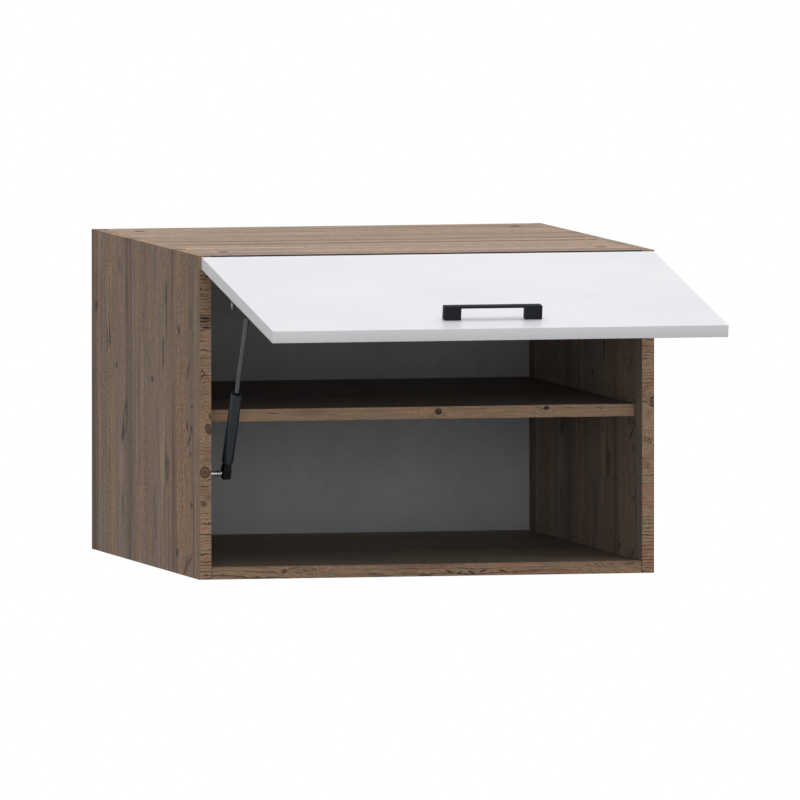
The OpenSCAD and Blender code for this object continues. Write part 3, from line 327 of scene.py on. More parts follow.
def edgeDecor(name, pitch, waves, knots, groups=(), bows=(), strokes=(), seams=(), paintedArrisLight=(), paintedShadeLines=(), shades=(), shift=0.0,
              base=0.30, level=1.15):
    # Growth lines lie level, pitch to a metre up the strip; waves: scale along and up, and depth in lines.
    # Knots: height, place, radii, slant, parting, strength. Groups: height, half height, strength.
    # Bows: height, half height, place, depth. Strokes: place, height, half length, half width, slant, strength.
    material, n, shader, place = blank(name, "oak_edging", IOR=1.35, Specular_IOR_Level=0.4)
    t, _, s = n.split(place)
    flat = n.join(n.math("ADD", t, shift), s, shift * 3.1)
    ragged = n.math("MULTIPLY", n.math("SUBTRACT", n.noise(flat, (520, 620, 1), 3, 0.6), 0.5), 1.5)
    wave = n.math("SUBTRACT", n.noise(flat, (waves[0], waves[1], 1), 3, 0.6, 0.3), 0.5)
    shiver = n.math("SUBTRACT", n.noise(flat, (waves[0] * 4, waves[1] * 4, 1), 3, 0.65), 0.5)
    field = n.math("ADD", n.math("MULTIPLY", s, pitch), n.math("MULTIPLY", wave, waves[2]))
    field = n.math("ADD", field, n.math("MULTIPLY", shiver, 0.8))
    slow = n.math("SUBTRACT", n.noise(n.join(0.0, s, shift + 2.7), (1, 22, 1), 2), 0.5)
    field = n.math("ADD", field, n.math("MULTIPLY", slow, 6.0))
    heart = dark = None
    for cs, ct, rs, rt, slant, parting, strength in knots:
        spot = n.add("ShaderNodeGroup", {"node_tree": oakKnot}, S=s, T=t, Centre_S=cs, Centre_T=ct,
                     Radius_S=rs, Radius_T=rt, Slant=slant, Ragged=ragged).outputs
        field = n.math("SUBTRACT", field, n.math("MULTIPLY", spot["Part"], parting))
        h, d = [n.math("MULTIPLY", spot[label], strength) for label in ("Heart", "Dark")]
        heart, dark = (h, d) if heart is None else (n.math("MAXIMUM", heart, h), n.math("MAXIMUM", dark, d))
    for cs, hs, ct, depth in bows:
        window = n.math("EXPONENT", n.math("MULTIPLY", n.math("POWER", n.math("DIVIDE", n.math(
            "SUBTRACT", s, cs), hs), 2.0), -1.0))
        curve = n.math("MULTIPLY", n.math("POWER", n.math("SUBTRACT", t, ct), 2.0), depth)
        field = n.math("ADD", field, n.math("MULTIPLY", curve, window))
    ring = n.math("FRACT", field)
    own = n.add("ShaderNodeTexWhiteNoise", {"noise_dimensions": "1D"}, W=n.math("FLOOR", field)).outputs["Value"]
    early = n.ease(ring, 0.0, 0.8)
    late = n.math("MULTIPLY", n.ease(ring, 0.55, 0.84), n.ease(ring, 1.0, 0.93))
    broken = n.ease(n.noise(n.vector("ADD", flat, (3.3, 7.7, 1.9)), (waves[0] * 2, 150, 1), 3, 0.6), 0.36, 0.56, 0.35, 1.1)
    late = n.math("MULTIPLY", late, broken)

    cloud = n.noise(flat, (waves[0] * 0.6, 34, 1), 3, 0.62)
    colour = n.ramp(n.math("ADD", n.math("MULTIPLY", cloud, 1.9), -0.45),
                    [(p, tint(*c)) for p, c in edging["tones"]])
    patch = n.noise(n.vector("ADD", flat, (4.7, 1.3, 2.2)), (waves[0] * 0.5, 26, 1), 2, 0.5)
    red = n.ease(n.noise(n.vector("ADD", flat, (8.1, 3.9, 5.2)), (waves[0] * 0.5, 55, 1), 2, 0.5), 0.54, 0.68)
    colour = n.mix(n.math("MULTIPLY", red, 0.5), colour, tint(*edging["redColour"]))
    force = n.math("MULTIPLY", n.ease(patch, 0.36, 0.68, base * 0.4, base * 2.2), n.ease(own, 0.1, 0.9, 0.15, 1.35))
    for cs, hs, strength in groups:
        gauss = n.math("EXPONENT", n.math("MULTIPLY", n.math("POWER", n.math("DIVIDE", n.math(
            "SUBTRACT", s, cs), hs), 2.0), -1.0))
        force = n.math("ADD", force, n.math("MULTIPLY", gauss, strength))
    fibre = n.noise(flat, (240, 1300, 1), 3, 0.65)
    speck = n.noise(flat, (520, 640, 1), 3, 0.7)
    light = n.math("SUBTRACT", level, n.math("MULTIPLY", early, 0.16))
    light = n.math("ADD", light, n.math("MULTIPLY", n.math("SUBTRACT", fibre, 0.5), 1.3))
    light = n.math("ADD", light, n.math("MULTIPLY", n.math("SUBTRACT", speck, 0.5), 1.3))
    for cs, hs, strength in shades:  # a darker or lighter stretch of the strip
        gauss = n.math("EXPONENT", n.math("MULTIPLY", n.math("POWER", n.math("DIVIDE", n.math(
            "SUBTRACT", s, cs), hs), 2.0), -1.0))
        light = n.math("ADD", light, n.math("MULTIPLY", gauss, strength))
    colour = n.vector("SCALE", colour, scale=light)
    late = n.math("MULTIPLY", late, n.math("MINIMUM", force, 0.95))
    colour = n.mix(late, colour, tint(*edging["lineColour"]))
    split = n.noise(n.vector("ADD", flat, (1.9, 6.1, 3.3)), (waves[0] * 2.2, 240, 1), 3, 0.6, 0.8)
    split = n.ease(split, 0.67, 0.72)
    colour = n.mix(n.math("MULTIPLY", split, 0.7), colour, tint(*edging["lineColour"]))
    deep = n.math("MAXIMUM", split, n.math("MULTIPLY", late, 0.4))
    if heart is not None:
        colour = n.mix(n.math("MULTIPLY", heart, 0.7), colour, tint(*edging["knotColour"]))
        colour = n.mix(n.math("MULTIPLY", dark, 0.92), colour, tint(*edging["knotDark"]))
        deep = n.math("MAXIMUM", deep, dark)
    for ct, cs, length, width, slant, strength in strokes:
        spot = n.add("ShaderNodeGroup", {"node_tree": oakMark}, U=t, V=s, Centre_U=ct, Centre_V=cs,
                     Half_length=length, Half_width=width, Slant=slant, Ragged=ragged,
                     Hollow=0.0).outputs[0]
        colour = n.mix(n.math("MULTIPLY", spot, strength), colour, tint(*edging["knotDark"]))
        deep = n.math("MAXIMUM", deep, spot)
    for edge in seams:  # the dark joint at the end of a strip
        jointAndPaintedLightBand = n.ease(n.math("ABSOLUTE", n.math("SUBTRACT", t, edge)), 0.0011, 0.0004)
        colour = n.mix(n.math("MULTIPLY", jointAndPaintedLightBand, 0.75), colour, tint(*edging["seamColour"]))
    for edge, rim in paintedArrisLight:  # painted light on the outer arris: a paler, greyer line as painted sheen on the left strip, a dark line as painted shade on the right strip
        jointAndPaintedLightBand = n.ease(n.math("ABSOLUTE", n.math("SUBTRACT", t, edge)), 0.0012, 0.0006)
        colour = n.mix(n.math("MULTIPLY", jointAndPaintedLightBand, 0.8), colour, tint(*rim))
    for edge in paintedShadeLines:  # painted shadow: a dark level line along the strip, standing in for the shadow in the gap between the top and the door
        jointAndPaintedLightBand = n.ease(n.math("ABSOLUTE", n.math("SUBTRACT", s, edge)), 0.0027, 0.0021)
        colour = n.mix(jointAndPaintedLightBand, colour, tint(*edging["knotDark"]))

    n.put(shader.inputs["Base Color"], colour)
    n.put(shader.inputs["Roughness"], n.ease(fibre, 0.3, 0.7, 0.58, 0.46))
    height = n.math("SUBTRACT", n.math("MULTIPLY", fibre, 0.5), deep)
    n.put(shader.inputs["Normal"], n.bump(height, 0.4, 0.0002))
    return material


def backDecor(name, look):  # lacquered inside, raw fibreboard outside
    material, n, shader, place = blank(name, "back_board", IOR=1.45, Specular_IOR_Level=0.25)
    y, z = n.split(place)[1:]
    cloud = n.noise(place, (7, 7, 7), 4, 0.6)
    mottle = n.noise(place, (38, 38, 38), 3, 0.55)
    spots = n.ease(n.noise(place, (70, 70, 70), 2, 0.5), 0.62, 0.74)
    inside = n.mix(n.ease(cloud, 0.35, 0.65), tint(*look["inside"][0]), tint(*look["inside"][1]))
    inside = n.mix(n.math("MULTIPLY", n.ease(mottle, 0.45, 0.7), 0.35), inside, tint(*look["inside"][2]))
    inside = n.mix(n.math("MULTIPLY", spots, 0.22), inside, tint(*look["inside"][3]))
    chips = n.noise(place, (900, 900, 900), 3, 0.7)
    flecks = n.ease(n.noise(place, (420, 420, 420), 2, 0.6), 0.6, 0.7)
    outside = n.ramp(chips, [(0.3, tint(116, 88, 62)), (0.5, tint(142, 112, 82)), (0.7, tint(168, 138, 106))])
    outside = n.mix(n.math("MULTIPLY", flecks, 0.4), outside, tint(96, 70, 50))
    outside = n.mix(n.ease(n.noise(place, (5, 5, 14), 5, 0.68), 0.36, 0.66, 0.0, 0.35), outside, tint(104, 78, 56))
    outside = n.mix(n.ease(n.noise(place, (60, 60, 60), 4, 0.7), 0.54, 0.72, 0.0, 0.3), outside, tint(178, 150, 118))
    # painted light and shade: the lacquered inside is lighter below the shelf and darker above it
    inside = n.vector("SCALE", inside, scale=n.ease(z, look["split"], -look["split"], *look["paintedLightLevels"]))
    rear = n.ease(y, -0.0024, -0.0021)
    n.put(shader.inputs["Base Color"], n.mix(rear, inside, outside))
    n.put(shader.inputs["Roughness"], n.blend(rear, 0.48, 0.75))
    n.put(shader.inputs["Normal"], n.bump(n.math("ADD", chips, mottle), 0.2, 0.0002))
    return material


def lacquer(name, slot, look):  # the white front and its edging
    material, n, shader, place = blank(name, slot, IOR=1.5, Specular_IOR_Level=look["gloss"], Coat_Weight=look["coat"],
                                       Coat_Roughness=0.22, Coat_IOR=1.5)
    cloud = n.noise(place, (5, 5, 5), 3, 0.5)
    colour = n.mix(n.ease(cloud, 0.35, 0.65), tint(*look["colours"][0]), tint(*look["colours"][1]))
    peel = n.noise(place, (700, 700, 700), 2, 0.5)
    fine = n.noise(place, (2600, 2600, 2600), 2, 0.5)
    scuff = n.noise(place, (24, 160, 160), 4, 0.7)
    n.put(shader.inputs["Base Color"], n.mix(n.math("MULTIPLY", n.ease(scuff, 0.62, 0.8), 0.12), colour,
                                            tint(*look["colours"][2])))
    n.put(shader.inputs["Roughness"], n.ease(scuff, 0.3, 0.75, look["rough"], look["rough"] + 0.1))
    n.put(shader.inputs["Normal"], n.bump(n.math("ADD", peel, n.math("MULTIPLY", fine, 0.4)), 0.06, 0.00012))
    return material


def powderCoat(name, slot, look):
    material, n, shader, place = blank(name, slot, IOR=1.5, Specular_IOR_Level=look["gloss"])
    grit = n.noise(place, (1400, 1400, 1400), 3, 0.6)
    cloud = n.noise(place, (60, 60, 60), 3, 0.5)
    wear = n.ease(n.noise(place, (320, 320, 320), 4, 0.7), 0.62, 0.75)
    colour = n.mix(n.ease(cloud, 0.3, 0.7), tint(*look["colours"][0]), tint(*look["colours"][1]))
    n.put(shader.inputs["Base Color"], n.mix(n.math("MULTIPLY", wear, 0.3), colour, tint(*look["colours"][2])))
    n.put(shader.inputs["Roughness"], n.ease(grit, 0.3, 0.7, look["rough"], look["rough"] + 0.14))
    n.put(shader.inputs["Normal"], n.bump(grit, look["bump"], 0.00015))
    return material


def platedSteel(name, slot, look, lean=None):  # zinc or nickel, brushed along one direction
    material, n, shader, place = blank(name, slot, Metallic=1.0)
    if lean is not None:
        place = n.add("ShaderNodeMapping", Vector=place, Rotation=(math.radians(-lean), 0, 0)).outputs[0]
    cloud = n.noise(place, (90, 90, 90), 4, 0.6)
    brush = n.noise(place, look["brush"], 3, 0.6)
    grime = n.ease(n.noise(place, (260, 260, 260), 3, 0.6), 0.58, 0.75)
    colour = n.mix(n.ease(cloud, 0.35, 0.65), tint(*look["colours"][0]), tint(*look["colours"][1]))
    n.put(shader.inputs["Base Color"], n.mix(n.math("MULTIPLY", grime, 0.35), colour, tint(*look["colours"][2])))
    n.put(shader.inputs["Roughness"], n.ease(brush, 0.3, 0.7, look["rough"], look["rough"] + 0.16))
    n.put(shader.inputs["Normal"], n.bump(brush, 0.12, 0.00008))
    return material


def moulded(name, slot, look):  # plastic and rubber
    material, n, shader, place = blank(name, slot, IOR=1.5, Specular_IOR_Level=look["gloss"])
    spark = n.noise(place, (2200, 2200, 2200), 2, 0.6)
    flow = n.noise(place, (120, 120, 40), 3, 0.5)
    colour = n.mix(n.ease(flow, 0.3, 0.7), tint(*look["colours"][0]), tint(*look["colours"][1]))
    n.put(shader.inputs["Base Color"], colour)
    n.put(shader.inputs["Roughness"], n.ease(spark, 0.3, 0.7, look["rough"], look["rough"] + 0.12))
    n.put(shader.inputs["Normal"], n.bump(spark, 0.15, 0.0001))
    return material


def beechWood(name):
    material, n, shader, place = blank(name, "beech", IOR=1.45, Specular_IOR_Level=0.2)
    grain = n.noise(place, (40, 900, 900), 3, 0.6)
    fleck = n.ease(n.noise(place, (300, 1800, 1800), 2, 0.6), 0.6, 0.7)
    colour = n.ramp(grain, [(0.3, tint(196, 160, 116)), (0.5, tint(212, 178, 134)), (0.7, tint(224, 194, 152))])
    n.put(shader.inputs["Base Color"], n.mix(n.math("MULTIPLY", fleck, 0.4), colour, tint(160, 118, 78)))
    n.put(shader.inputs["Roughness"], n.ease(grain, 0.3, 0.7, 0.75, 0.62))
    n.put(shader.inputs["Normal"], n.bump(grain, 0.2, 0.0002))
    return material


edgeLooks = {
    # the left strip's arris colour is a painted sheen, the right strip's a painted shade
    "left": dict(pitch=200, waves=(60, 40, 1.3), shift=0.0, base=0.50, paintedArrisLight=[(-0.3, (150, 132, 104))], knots=[
        (-0.0143, -0.2878, 0.0062, 0.0040, 0.35, 1.3, 1.0), (-0.0700, -0.2923, 0.0070, 0.0066, 0.0, 2.0, 0.9),
        (0.0020, -0.2850, 0.0035, 0.0022, 0.0, 1.0, 0.9), (-0.1105, -0.2945, 0.0036, 0.0032, 0.2, 0.8, 0.8)],
        groups=[(0.181, 0.006, 0.45), (0.140, 0.007, 0.35), (0.1275, 0.0045, 1.0), (0.1160, 0.004, 0.8),
                (-0.040, 0.006, 0.45), (-0.103, 0.0022, 0.7), (-0.1575, 0.0022, 0.9), (-0.187, 0.004, 0.5),
                (-0.203, 0.003, 0.6)],
        bows=[(0.0150, 0.017, -0.2915, 52000.0), (0.041, 0.007, -0.2935, 60000.0)],
        shades=[(0.196, 0.012, -0.12), (0.160, 0.022, -0.08), (0.124, 0.007, -0.30), (0.088, 0.022, 0.13),
                (-0.030, 0.012, 0.06), (-0.140, 0.030, 0.08)],
        strokes=[(-0.2965, 0.0605, 0.0022, 0.0017, -1.2, 1.0), (-0.2930, 0.0570, 0.0026, 0.0015, 1.0, 1.0),
                 (-0.2960, 0.0535, 0.0024, 0.0015, -0.8, 0.9), (-0.2920, 0.0870, 0.0050, 0.0011, 0.2, 0.8),
                 (-0.2920, 0.1280, 0.0085, 0.0022, 0.05, 1.0), (-0.2930, 0.1235, 0.0070, 0.0014, -0.05, 0.95),
                 (-0.2910, 0.1160, 0.0080, 0.0015, 0.04, 0.95), (-0.2915, 0.1800, 0.0080, 0.0008, 0.03, 0.7),
                 (-0.2925, 0.1560, 0.0070, 0.0007, -0.06, 0.6)]),
    "right": dict(pitch=215, waves=(55, 36, 1.1), shift=3.7, base=0.42, paintedArrisLight=[(0.3, (70, 52, 42))], knots=[
        (0.0130, 0.2990, 0.0066, 0.0040, 0.0, 2.8, 1.0), (-0.0370, 0.2915, 0.0046, 0.0046, 0.4, 1.8, 0.45)],
        groups=[(0.078, 0.0016, 0.9), (-0.0835, 0.0015, 0.8), (-0.1434, 0.0015, 0.6), (-0.1536, 0.0018, 1.0),
                (-0.165, 0.012, 0.35), (-0.188, 0.0012, 0.6), (-0.203, 0.003, 0.7)],
        strokes=[(0.2885, 0.0130, 0.0050, 0.0009, 0.15, 0.9), (0.2950, 0.0175, 0.0045, 0.0008, -0.9, 0.8),
                 (0.2950, 0.0080, 0.0045, 0.0008, 0.9, 0.8), (0.2860, -0.1434, 0.0022, 0.0009, 0.8, 0.8)]),
    "shelf": dict(pitch=250, waves=(11, 60, 2.2), shift=1.3, base=0.22, knots=[
        (0.0012, 0.0237, 0.0040, 0.0044, 0.0, 0.9, 1.0), (0.0042, 0.1669, 0.0026, 0.0036, 0.0, 0.9, 1.0),
        (0.0030, 0.1669, 0.0050, 0.0160, 0.0, 1.2, 0.0), (0.0010, 0.0237, 0.0050, 0.0140, 0.0, 1.2, 0.0)],
        groups=[(-0.0076, 0.0007, 0.6)],
        strokes=[(0.2373, 0.0035, 0.0060, 0.0009, 0.5, 0.8), (0.2803, 0.0058, 0.0035, 0.0007, 0.6, 0.7),
                 (0.1560, 0.0048, 0.0060, 0.0006, 0.1, 0.7), (0.1180, 0.0010, 0.0120, 0.0006, 0.08, 0.4),
                 (0.0237, 0.0012, 0.0042, 0.0032, 0.3, 1.0), (0.1669, 0.0042, 0.0032, 0.0030, 0.0, 1.0),
                 (0.0275, 0.0030, 0.0022, 0.0012, -0.8, 0.8), (0.1625, 0.0030, 0.0060, 0.0010, 0.15, 0.7)],
        seams=(0.2838, -0.2838)),
    "bottom": dict(pitch=240, waves=(12, 60, 2.4), shift=5.9, base=0.30, level=1.02, knots=[
        (-0.1982, -0.1880, 0.0024, 0.0036, 0.0, 1.2, 1.0), (-0.1945, -0.1660, 0.0040, 0.0130, 0.1, 2.0, 0.0),
        (-0.1985, -0.1500, 0.0034, 0.0090, -0.2, 1.8, 0.0), (-0.1975, 0.2350, 0.0040, 0.0160, 0.3, 1.8, 0.0)],
        groups=[(-0.2070, 0.0010, 0.7)],
        strokes=[(-0.1740, -0.1945, 0.0110, 0.0007, -0.25, 0.8), (-0.1600, -0.1985, 0.0100, 0.0007, 0.35, 0.8),
                 (-0.1500, -0.1960, 0.0080, 0.0007, 0.4, 0.7), (-0.1680, -0.2005, 0.0120, 0.0006, 0.15, 0.6),
                 (-0.0680, -0.2035, 0.0120, 0.0010, 0.05, 0.75), (-0.0200, -0.2030, 0.0022, 0.0009, 1.2, 0.8),
                 (0.0290, -0.2020, 0.0060, 0.0014, 0.30, 0.98), (0.0430, -0.2040, 0.0044, 0.0014, -0.45, 0.98),
                 (0.0580, -0.2035, 0.0058, 0.0014, 0.25, 0.98), (0.0740, -0.2020, 0.0062, 0.0014, -0.28, 0.98),
                 (0.0850, -0.2045, 0.0030, 0.0010, 0.45, 0.85), (0.0990, -0.2020, 0.0068, 0.0014, 0.18, 0.98),
                 (0.1160, -0.2030, 0.0050, 0.0009, 0.35, 0.7), (0.2250, -0.1970, 0.0070, 0.0008, 0.5, 0.7),
                 (0.2350, -0.1985, 0.0070, 0.0008, 0.5, 0.6), (0.2150, -0.1965, 0.0060, 0.0007, 0.5, 0.6)],
        seams=(0.2838, -0.2838)),
    "top": dict(pitch=250, waves=(12, 60, 2.2), shift=8.4, base=0.26, knots=[
        (0.2010, -0.0600, 0.0030, 0.0040, 0.0, 1.2, 0.9), (0.1990, 0.1700, 0.0034, 0.0046, 0.1, 1.2, 0.9)],
        strokes=[(0.0200, 0.1980, 0.0100, 0.0008, 0.1, 0.7)], seams=(0.2838, -0.2838), paintedShadeLines=(0.208,)),
}

# the tints given for the inside faces paint the cooler, muted colour of the cabinet's shade onto them
sidesDecor = oakDecor("oakUpright", "z", deepen=1.05,
                      insideShade={"axis": "x", "edge": (0.2846, 0.2842), "tint": (1.17, 1.35, 1.56, 1)})
topDecor = oakDecor("oakLevelTop", "x", shift=0.37, marked=False, ior=1.42, wide=1.0)
# deepen 0.8 darkens the whole shelf: painted shade
shelfDecor = oakDecor("oakLevelShelf", "x", shift=0.11, marked=False, ior=1.42, deepen=0.8,
                      insideShade={"axis": "z", "edge": (0.0070, 0.0074), "tint": (0.80, 1.00, 1.28, 1)})
bottomDecor = oakDecor("oakLevelBottom", "x", shift=0.83, marked=False, ior=1.42, deepen=0.93,
                       insideShade={"axis": "z", "edge": (-0.1930, -0.1926), "tint": (1.03, 1.22, 1.42, 1)})
edgeDecors = {key: edgeDecor(key + "EdgeGrain", **look) for key, look in edgeLooks.items()}
backFinish = backDecor("backLacquer", {"inside": [(155, 158, 163), (164, 166, 171), (147, 150, 155), (139, 142, 147)],
                                        "split": -0.008, "paintedLightLevels": (1.09, 0.88)})
frontFinish = lacquer("frontLacquer", "door_white",
                      {"colours": [(236, 236, 241), (240, 240, 244), (226, 226, 230)], "gloss": 0.35, "coat": 0.12,
                       "rough": 0.34})
rimFinish = lacquer("frontRim", "door_edging",
                    {"colours": [(238, 238, 240), (242, 242, 244), (228, 228, 230)], "gloss": 0.4, "coat": 0.15,
                     "rough": 0.30})
handleFinish = powderCoat("handlePowder", "handle_black",
                          {"colours": [(35, 37, 40), (39, 41, 44), (53, 55, 59)], "gloss": 0.04, "rough": 0.5,
                           "bump": 0.22})
# near-black cam faces: dark caps, darkened further as painted shade of the bores they sit in
camCapShadeFinish = powderCoat("camCapShade", "cam_lock",
                       {"colours": [(10, 9, 8), (8, 7, 6), (20, 17, 15)], "gloss": 0.0, "rough": 0.7,
                        "bump": 0.15})
tubeFinish = powderCoat("tubePaint", "strut_tube",
                        {"colours": [(38, 46, 51), (43, 51, 57), (54, 61, 66)], "gloss": 0.28, "rough": 0.24,
                         "bump": 0.05})
# the chrome is dark to stand in for the dark reflection of the cabinet's inside: painted reflection
rodFinish = platedSteel("rodChrome", "strut_rod",
                        {"colours": [(86, 88, 90), (78, 80, 82), (60, 62, 64)], "brush": (1400, 1400, 40),
                         "rough": 0.12}, lean=30.2189)
brightFinish = platedSteel("zincBright", "bright_steel",
                           {"colours": [(214, 215, 218), (196, 198, 203), (150, 150, 150)],
                            "brush": (60, 1500, 1500), "rough": 0.20})
stampedFinish = platedSteel("nickelStamped", "nickel_steel",
                            {"colours": [(186, 186, 186), (170, 171, 173), (128, 126, 122)],
                             "brush": (1200, 70, 1200), "rough": 0.26})
# black paint on both strut brackets, also standing in for the shade under the open door: partly painted shade
bracketPaintShadeFinish = powderCoat("bracketPaintAndShade", "bracket_black",
                           {"colours": [(30, 31, 33), (26, 27, 29), (58, 59, 61)], "gloss": 0.3, "rough": 0.5,
                            "bump": 0.15})
# two copies of one zinc: a darker one on the head stud as painted shade, a brighter one on the foot stud as painted
# highlight
shadedStudFinish = platedSteel("shadedZincStud", "bright_steel",
                         {"colours": [(104, 105, 107), (92, 93, 96), (70, 70, 72)], "brush": (60, 1500, 1500),
                          "rough": 0.18})
litStudFinish = platedSteel("litZincStud", "bright_steel",
                             {"colours": [(158, 159, 162), (142, 143, 146), (104, 104, 106)],
                              "brush": (60, 1500, 1500), "rough": 0.14})
pistonFinish = platedSteel("pistonBrass", "piston",
                           {"colours": [(214, 184, 116), (196, 164, 96), (140, 112, 62)],
                            "brush": (900, 900, 90), "rough": 0.3}, lean=30.2189)
socketFinish = moulded("socketNylon", "socket_black", {"colours": [(6, 6, 7), (9, 9, 10)], "gloss": 0.12,
                                                       "rough": 0.3})
sealFinish = moulded("sealRubber", "seal", {"colours": [(16, 16, 16), (22, 22, 22)], "gloss": 0.3, "rough": 0.6})
bumperFinish = moulded("bumperClear", "bumper", {"colours": [(216, 219, 222), (228, 230, 232)], "gloss": 0.5,
                                                 "rough": 0.25})
dowelFinish = beechWood("beechDowel")


def dress(material, *nodes):
    for node in nodes:
        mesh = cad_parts[node].data
        if mesh.materials:
            mesh.materials[0] = material
        else:
            mesh.materials.append(material)


dress(sidesDecor, "side_panel_left", "side_panel_right")
dress(topDecor, "top_panel")
dress(shelfDecor, "shelf")
dress(bottomDecor, "bottom_panel")
dress(backFinish, "back_panel")
dress(frontFinish, "door_panel")
dress(rodFinish, "strut_rod")
dress(pistonFinish, "strut_piston")
dress(socketFinish, "strut_rod_guide")
dress(sealFinish, "strut_rod_seal")
dress(dowelFinish, "dowels")
dress(brightFinish, "cam_bolts", "hinge_pins")


def settle(piece, material, body, *nodes):  # a finished piece gets its finish, body, slot and the nodes it stands for
    piece.data.materials.clear()
    piece.data.materials.append(material)
    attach(piece, body)
    if nodes:
        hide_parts(*nodes)
    return piece


def newPiece(name, shape, smoothAngle=35):
    mesh = bpy.data.meshes.new(name)
    bmesh.ops.recalc_face_normals(shape, faces=shape.faces)
    shape.to_mesh(mesh)
    shape.free()
    for polygon in mesh.polygons:
        polygon.use_smooth = True
    mesh.set_sharp_from_angle(angle=math.radians(smoothAngle))
    piece = bpy.data.objects.new(name, mesh)
    bpy.context.scene.collection.objects.link(piece)
    return piece


def rounded(piece, width, segments=2, angle=30, weighted=False):
    bevel = piece.modifiers.new("softEdges", "BEVEL")
    bevel.width, bevel.segments = width, segments
    bevel.limit_method = "WEIGHT" if weighted else "ANGLE"
    bevel.angle_limit = math.radians(angle)
    bevel.harden_normals = True
    return piece


def softened(name, node, width, segments=2, shortest=0.0035, smoothAngle=35):
    # a merged copy of a CAD node whose long edges are rounded
    shape = bmesh.new()
    shape.from_mesh(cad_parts[node].data)
    bmesh.ops.remove_doubles(shape, verts=shape.verts, dist=2e-6)
    bmesh.ops.dissolve_limit(shape, angle_limit=math.radians(0.6), verts=shape.verts, edges=shape.edges)
    weight = shape.edges.layers.float.new("bevel_weight_edge")
    for edge in shape.edges:
        if len(edge.link_faces) == 2 and edge.calc_face_angle(0) > math.radians(25) and edge.calc_length() > shortest:
            edge[weight] = 1.0
    piece = newPiece(name, shape, smoothAngle)
    for attribute in ("custom_normal", "custom_normals"):
        if attribute in piece.data.attributes:
            piece.data.attributes.remove(piece.data.attributes[attribute])
    return rounded(piece, width, segments, weighted=True)


def lathe(shape, profile, segments=32, place=Matrix.Identity(4)):
    # turns points of radius and height round Z, with closed poles
    rings = []
    for radius, height in profile:
        if radius < 1e-7:
            rings.append([shape.verts.new(place @ Vector((0, 0, height)))])
        else:
            rings.append([shape.verts.new(place @ Vector((radius * math.cos(a), radius * math.sin(a), height)))
                          for a in (2 * math.pi * i / segments for i in range(segments))])
    for low, high in zip(rings, rings[1:]):
        for i in range(segments):
            j = (i + 1) % segments
            corners = [low[i % len(low)], low[j % len(low)], high[j % len(high)], high[i % len(high)]]
            corners = list(dict.fromkeys(corners))
            if len(corners) > 2:
                shape.faces.new(corners)
    return shape


def box(shape, low, high, place=Matrix.Identity(4)):
    made = bmesh.ops.create_cube(shape, size=1)["verts"]
    size = Vector(high) - Vector(low)
    centre = (Vector(high) + Vector(low)) / 2
    for vert in made:
        vert.co = place @ (Vector((vert.co.x * size.x, vert.co.y * size.y, vert.co.z * size.z)) + centre)
    return made


def carved(name, body, cutter):  # a template: the body with the cutter taken out of it
    solid = newPiece(name, body)
    tool = newPiece(name + "Tool", cutter)
    cut = solid.modifiers.new("cut", "BOOLEAN")
    cut.operation, cut.solver, cut.object, cut.use_self = "DIFFERENCE", "EXACT", tool, True
    bpy.context.view_layer.update()
    mesh = bpy.data.meshes.new_from_object(solid.evaluated_get(bpy.context.evaluated_depsgraph_get()))
    mesh.name = name + "Mesh"
    bpy.data.objects.remove(solid)
    bpy.data.objects.remove(tool)
    for polygon in mesh.polygons:
        polygon.use_smooth = True
    mesh.set_sharp_from_angle(angle=math.radians(35))
    template = bpy.data.objects.new(name, mesh)
    bpy.context.scene.collection.objects.link(template)
    return template


def crossRecess(width, slot, depth, top=0.0):  # the cross that a driver turns, with a tapered middle
    shape = bmesh.new()
    for angle in (0, math.pi / 2):
        turn = Matrix.Rotation(angle, 4, "Z")
        made = box(shape, (-width / 2, -slot / 2, top - depth), (width / 2, slot / 2, top + 0.001), turn)
        for vert in made:
            if vert.co.z < top:
                vert.co.x *= 0.62
                vert.co.y *= 0.62
    return shape


def fastenerTree():
    tree = bpy.data.node_groups.new("fastenersOnPoints", "GeometryNodeTree")
    tree.interface.new_socket("Geometry", in_out="INPUT", socket_type="NodeSocketGeometry")
    for label, kind in (("Fastener", "NodeSocketObject"), ("Finish", "NodeSocketMaterial"),
                        ("Size", "NodeSocketFloat"), ("Twist", "NodeSocketFloat"), ("Seed", "NodeSocketInt")):
        tree.interface.new_socket(label, in_out="INPUT", socket_type=kind)
    tree.interface.new_socket("Geometry", in_out="OUTPUT", socket_type="NodeSocketGeometry")
    n = Nodes(tree)
    given = n.add("NodeGroupInput").outputs
    facing = n.add("GeometryNodeInputNamedAttribute", {"data_type": "FLOAT_VECTOR"}, Name="facing").outputs[0]
    aim = n.add("FunctionNodeAlignRotationToVector", {"axis": "Z"}, Vector=facing).outputs[0]
    chance = n.add("FunctionNodeRandomValue", {"data_type": "FLOAT"}, Seed=given["Seed"])
    n.put(chance.inputs[2], 0.0)
    n.put(chance.inputs[3], given["Twist"])
    turn = n.add("FunctionNodeAxisAngleToRotation", Axis=(0, 0, 1), Angle=chance.outputs[1]).outputs[0]
    turned = n.add("FunctionNodeRotateRotation", {"rotation_space": "LOCAL"}, Rotation=aim, Rotate_By=turn).outputs[0]
    source = n.add("GeometryNodeObjectInfo", {"transform_space": "ORIGINAL"}, Object=given["Fastener"])
    source.inputs["As Instance"].default_value = True
    points = n.add("GeometryNodeMeshToPoints", Mesh=given["Geometry"]).outputs[0]
    size = n.join(given["Size"], given["Size"], given["Size"])
    spread = n.add("GeometryNodeInstanceOnPoints", Points=points, Instance=source.outputs["Geometry"],
                   Rotation=turned, Scale=size).outputs[0]
    real = n.add("GeometryNodeRealizeInstances", Geometry=spread).outputs[0]
    painted = n.add("GeometryNodeSetMaterial", Geometry=real, Material=given["Finish"]).outputs[0]
    n.put(n.add("NodeGroupOutput").inputs[0], painted)
    return tree


fasteners = fastenerTree()


